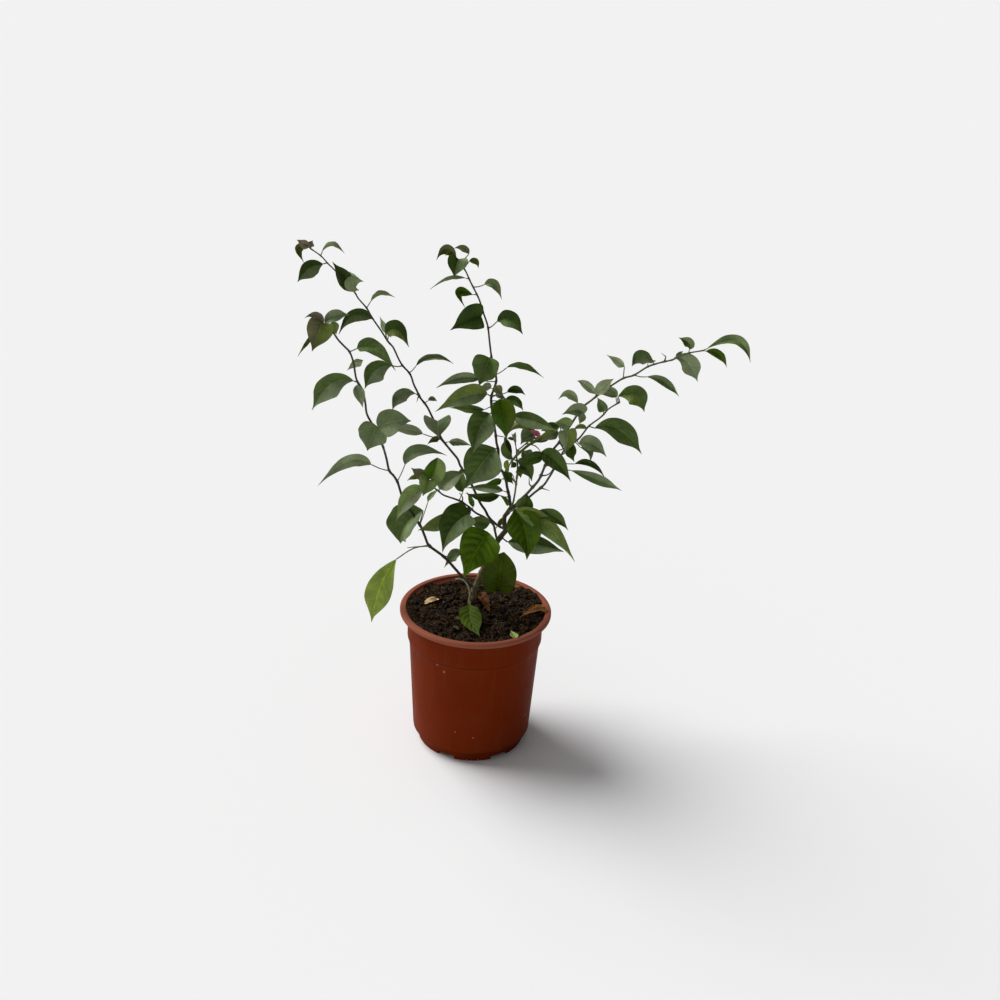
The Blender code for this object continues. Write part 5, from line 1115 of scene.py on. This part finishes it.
def makeSoil(plan, material):
    level = plan["level"]
    edge = wallInside(level) - 0.5
    rings = [(edge * ring / plan["rings"], level) for ring in range(plan["rings"] + 1)]
    profile = [
        *rings, (wallInside(level - 4.0) - 0.6, level - 4.0), (wallInside(80.0) - 0.6, 80.0),
        (wallInside(15.5) - 0.6, 15.5), (46.2, 7.3), (0.0, 7.3),
    ]
    shape = turnProfile(profile, plan["sides"])
    for vertex in shape.verts:
        if vertex.co.z > (level - 1.0) * mm:
            x, y = vertex.co.x / mm, vertex.co.y / mm
            away = math.hypot(x, y)
            brink = smoothstep(edge - 6.0, edge, away)
            vertex.co.z = soilSurface(x, y) * mm
            vertex.co.x *= 1 + plan["edgeReach"] * brink / edge
            vertex.co.y *= 1 + plan["edgeReach"] * brink / edge
            drift = noise.noise_vector(Vector((x, y, 5)) / 1.8) * 0.35 * smoothstep(edge, edge - 3, away) * mm
            vertex.co.x += drift.x
            vertex.co.y += drift.y
    mesh = bpy.data.meshes.new("soil")
    shape.to_mesh(mesh)
    shape.free()
    return newPiece("soilGround", mesh, ["soil"], [material], 180.0)


def scatterSoil(name, count, sizes, stretch, lift, material, draw, edge, kind="lump"):
    shape = bmesh.new()
    for _ in range(count):
        away = edge * math.sqrt(draw.random())
        angle = draw.uniform(0, 2 * math.pi)
        x, y = away * math.cos(angle), away * math.sin(angle)
        size = sizes[0] + (sizes[1] - sizes[0]) * draw.random() ** 2.2
        if kind == "lump":
            made = bmesh.ops.create_icosphere(shape, subdivisions=1, radius=1.0)["verts"]
            for vertex in made:
                vertex.co *= draw.uniform(0.75, 1.2)
        else:
            made = bmesh.ops.create_cube(shape, size=1.0)["verts"]
            for vertex in made:
                vertex.co *= draw.uniform(0.7, 1.25)
                vertex.co.z *= 0.3 if kind == "flake" else 1.0
        scale = Vector((stretch * draw.uniform(0.6, 1.3), draw.uniform(0.7, 1.1), draw.uniform(0.5, 0.9)))
        bmesh.ops.scale(shape, verts=made, vec=scale * size * 0.5 * mm)
        turn = Matrix.Rotation(draw.uniform(0, 6.28), 3, "Z") @ Matrix.Rotation(draw.uniform(-0.5, 0.5), 3, "Y")
        bmesh.ops.rotate(shape, verts=made, matrix=turn)
        spot = Vector((x, y, soilSurface(x, y) + size * lift)) * mm
        bmesh.ops.translate(shape, verts=made, vec=spot)
    mesh = bpy.data.meshes.new(name)
    bmesh.ops.recalc_face_normals(shape, faces=shape.faces)
    shape.to_mesh(mesh)
    shape.free()
    return newPiece(name, mesh, [], [material], 70.0)


def makeEarth(name, dark, light, size, roughness=0.95):
    made, tree, surface = newMaterial(name)
    clouds = useGroup(tree, mottle, {"Cloud Size": size * 4, "Grain Size": size})
    share = calc(tree, "MULTIPLY", clouds.outputs["Cloud"], clouds.outputs["Grain"])
    share = calc(tree, "MULTIPLY_ADD", clouds.outputs["Grain"], 0.12, share, clamp=True)
    wire(tree, surface.inputs["Base Color"], mixColour(tree, share, (*dark, 1.0), (*light, 1.0)))
    surface.inputs["Roughness"].default_value = roughness
    surface.inputs["Specular IOR Level"].default_value = 0.1
    bump = addNode(tree, "ShaderNodeBump", {"Height": clouds.outputs["Grain"], "Distance": 0.0012, "Strength": 1.0})
    wire(tree, surface.inputs["Normal"], bump.outputs["Normal"])
    return made


peat = makeEarth("peat", (0.0008, 0.0005, 0.0002), (0.088, 0.049, 0.02), 0.0016, 0.8)
flakeBark = makeEarth("flakeBark", (0.006, 0.0035, 0.0015), (0.12, 0.065, 0.028), 0.0025, 0.85)
woodBits = makeEarth("woodBits", (0.015, 0.008, 0.003), (0.21, 0.115, 0.045), 0.0025, 0.85)
paleGrains = makeEarth("paleGrains", (0.4, 0.36, 0.3), (0.75, 0.72, 0.66), 0.001, 0.8)
makeSoil(soilPlan, peat)
soilDraw = random.Random(soilPlan["seed"])
scatterSoil("soilCrumbs", soilPlan["crumbCount"], (1.1, 6.4), 1.6, 0.06, peat, soilDraw, 60.0)
scatterSoil("soilSplinters", soilPlan["splinterCount"], (0.6, 2.1), 4.6, 0.4, woodBits, soilDraw, 60.0, "splinter")
scatterSoil("soilGrains", soilPlan["grainCount"], (0.4, 1.3), 1.0, 0.4, paleGrains, soilDraw, 59.0)
scatterSoil("soilFlakes", soilPlan["flakeCount"], (2.5, 7.0), 1.5, 0.25, flakeBark, soilDraw, 57.0, "flake")
print("scene: soil is ready")

# Small loose blades: the pink bract, the dry leaves, and the green scrap at the rim.
looseLeaves = {
    "youngBract": ("young_bract", "bract_pink", ((46.6, 307.9, -13.6), (46.2, 311.2, -12.6), (39.2, 313.2, -11.5)), 6.5),
    "dryCurledLeaf": ("dry_curled_leaf", "leaf_dry_brown", ((3.0, 151, 2.2), (8.5, 142, 2.4), (14, 129, 1.4)), 11.0),
    "dryLeafRight": ("dry_leaf_right", "leaf_dry_brown", ((65, 133.5, 2.8), (55, 134.5, 3.2), (40, 126, 1.4)), 12.0),
    "dryLeafLeft": ("dry_leaf_left", "leaf_dry_tan", ((-35, 142.5, 1.4), (-42, 138.5, 1.4), (-50.5, 136.5, 1.2)), 8.0),
    "fallenGreenLeaf": ("fallen_green_leaf", "leaf_pale", ((38.5, 103.8, 1.8), (36.8, 107.5, 2.2), (34, 113, 3.2)), 8.0),
    "oliveScrapFront": (None, "leaf_dry_tan", ((-20.5, 112.5, 1.6), (-17, 112, 1.6), (-13, 110.5, 1.6)), 4.5),
    "oliveScrapRear": (None, "leaf_dry_tan", ((-18.5, 123.5, 1.6), (-15, 122, 1.6), (-11.5, 121.5, 1.6)), 4.0),
}
looseTints = {
    "youngBract": ((0.5, 0.09, 0.17), (0.72, 0.25, 0.33)), "dryCurledLeaf": ((0.02, 0.005, 0.0005), (0.15, 0.05, 0.007)),
    "dryLeafRight": ((0.035, 0.009, 0.001), (0.42, 0.18, 0.05)), "dryLeafLeft": ((0.4, 0.25, 0.11), (0.85, 0.65, 0.36)),
    "fallenGreenLeaf": ((0.2, 0.3, 0.06), (0.4, 0.52, 0.18)),
    "oliveScrapFront": ((0.03, 0.03, 0.008), (0.13, 0.13, 0.045)), "oliveScrapRear": ((0.03, 0.032, 0.008), (0.12, 0.125, 0.04)),
}


def makeDryMaterial(name, dark, light):
    made, tree, surface = newMaterial(name)
    veins = useGroup(tree, leafVeins)
    clouds = useGroup(tree, mottle, {"Cloud Size": 0.004, "Grain Size": 0.0007})
    share = calc(tree, "MULTIPLY_ADD", clouds.outputs["Grain"], 0.35, calc(tree, "MULTIPLY", clouds.outputs["Cloud"], 0.6))
    share = calc(tree, "MULTIPLY_ADD", veins.outputs["Side Veins"], 0.2, share, clamp=True)
    wire(tree, surface.inputs["Base Color"], mixColour(tree, share, (*dark, 1.0), (*light, 1.0)))
    surface.inputs["Roughness"].default_value = 0.75
    surface.inputs["Specular IOR Level"].default_value = 0.12
    height = calc(tree, "MULTIPLY_ADD", clouds.outputs["Cloud"], 0.8, veins.outputs["Relief"])
    bump = addNode(tree, "ShaderNodeBump", {"Height": height, "Distance": 0.0003, "Strength": 0.8})
    wire(tree, surface.inputs["Normal"], bump.outputs["Normal"])
    return made


def makeLooseLeaf(name, node, ends, width, draw):
    shape = newLeafShape()
    onPlant = name == "youngBract"
    points = [place(*end) if onPlant else onSoil(*end) for end in ends]
    addBlade(shape, points, width, 0 if onPlant else "up", "mid", "ovate", bladePlan["fold"], draw)
    if not onPlant:
        strength = 0.3 if name == "fallenGreenLeaf" else 1.0
        for vertex in shape.verts:
            crumple = noise.noise_vector(vertex.co * 230) * 1.7 + noise.noise_vector(vertex.co * 700) * 0.6
            crumple.z = abs(crumple.z)
            vertex.co += crumple * strength * mm
    mesh = bpy.data.meshes.new(name)
    shape.to_mesh(mesh)
    shape.free()
    skin = makeDryMaterial(name + "Skin", *looseTints[name])
    newPiece(name, mesh, [node] if node else [], [skin], 60.0)


looseDraw = random.Random(23)
for name, (node, slot, ends, width) in looseLeaves.items():
    makeLooseLeaf(name, node, ends, width, looseDraw)
print("scene: loose leaves are ready")

# Floor, soft studio light and the camera at the photograph's viewing angle.
studio = {
    "floorColour": (0.87, 0.87, 0.87, 1.0), "fillLeft": 0.46, "fillRight": 0.12, "sunStrength": 3.285, "sunSpread": 44.0,
    "sunFrom": (-0.64, 0.32, 0.70), "backdrop": (0.888, 0.888, 0.888, 1.0),
    "cameraPlace": (17.5, -1142.0, 757.0), "cameraTilt": 24.13, "cameraRoll": 2.85, "focalPixels": 1400.5,
    "framePixels": 1000.0, "sensor": 36.0,
}


def makeStudio(plan):
    shape = bmesh.new()
    bmesh.ops.create_grid(shape, x_segments=1, y_segments=1, size=40.0)
    mesh = bpy.data.meshes.new("floor")
    shape.to_mesh(mesh)
    shape.free()
    floor = bpy.data.objects.new("floor", mesh)
    scene.collection.objects.link(floor)
    made, tree, surface = newMaterial("paleFloor")
    surface.inputs["Base Color"].default_value = plan["floorColour"]
    surface.inputs["Roughness"].default_value = 1.0
    surface.inputs["Specular IOR Level"].default_value = 0.0
    mesh.materials.append(made)
    world = bpy.data.worlds.new("studio")
    world.use_nodes = True
    scene.world = world
    tree = world.node_tree
    background = tree.nodes["Background"]
    seen = addNode(tree, "ShaderNodeLightPath").outputs["Is Camera Ray"]
    way = addNode(tree, "ShaderNodeTexCoord").outputs["Generated"]
    across = addNode(tree, "ShaderNodeSeparateXYZ", {"Vector": way}).outputs["X"]
    level = ramp(tree, across, -1.0, 1.0, plan["fillLeft"], plan["fillRight"])
    lit = addNode(tree, "ShaderNodeCombineXYZ", {"X": level, "Y": level, "Z": level}).outputs[0]
    wire(tree, background.inputs["Color"], mixColour(tree, seen, lit, plan["backdrop"]))
    sun = bpy.data.lights.new("softbox", "SUN")
    sun.energy = plan["sunStrength"]
    sun.angle = math.radians(plan["sunSpread"])
    lamp = bpy.data.objects.new("softbox", sun)
    lamp.rotation_euler = Vector(plan["sunFrom"]).to_track_quat("Z", "Y").to_euler()
    scene.collection.objects.link(lamp)
    camera = bpy.data.objects.new("camera", bpy.data.cameras.new("camera"))
    scene.collection.objects.link(camera)
    camera.data.sensor_width = plan["sensor"]
    camera.data.lens = plan["focalPixels"] / plan["framePixels"] * plan["sensor"]
    tilt = math.radians(plan["cameraTilt"])
    roll = math.radians(plan["cameraRoll"])
    ahead = Vector((0.0, math.cos(tilt), -math.sin(tilt)))
    right = Vector((1.0, 0.0, 0.0))
    up = right.cross(ahead)
    rolledRight = right * math.cos(roll) + up * math.sin(roll)
    rolledUp = up * math.cos(roll) - right * math.sin(roll)
    matrix = Matrix((rolledRight, rolledUp, -ahead)).transposed().to_4x4()
    matrix.translation = Vector(plan["cameraPlace"]) * mm
    camera.matrix_world = matrix
    scene.camera = camera
    scene.view_settings.view_transform = "Standard"


makeStudio(studio)
print("scene: studio is ready")
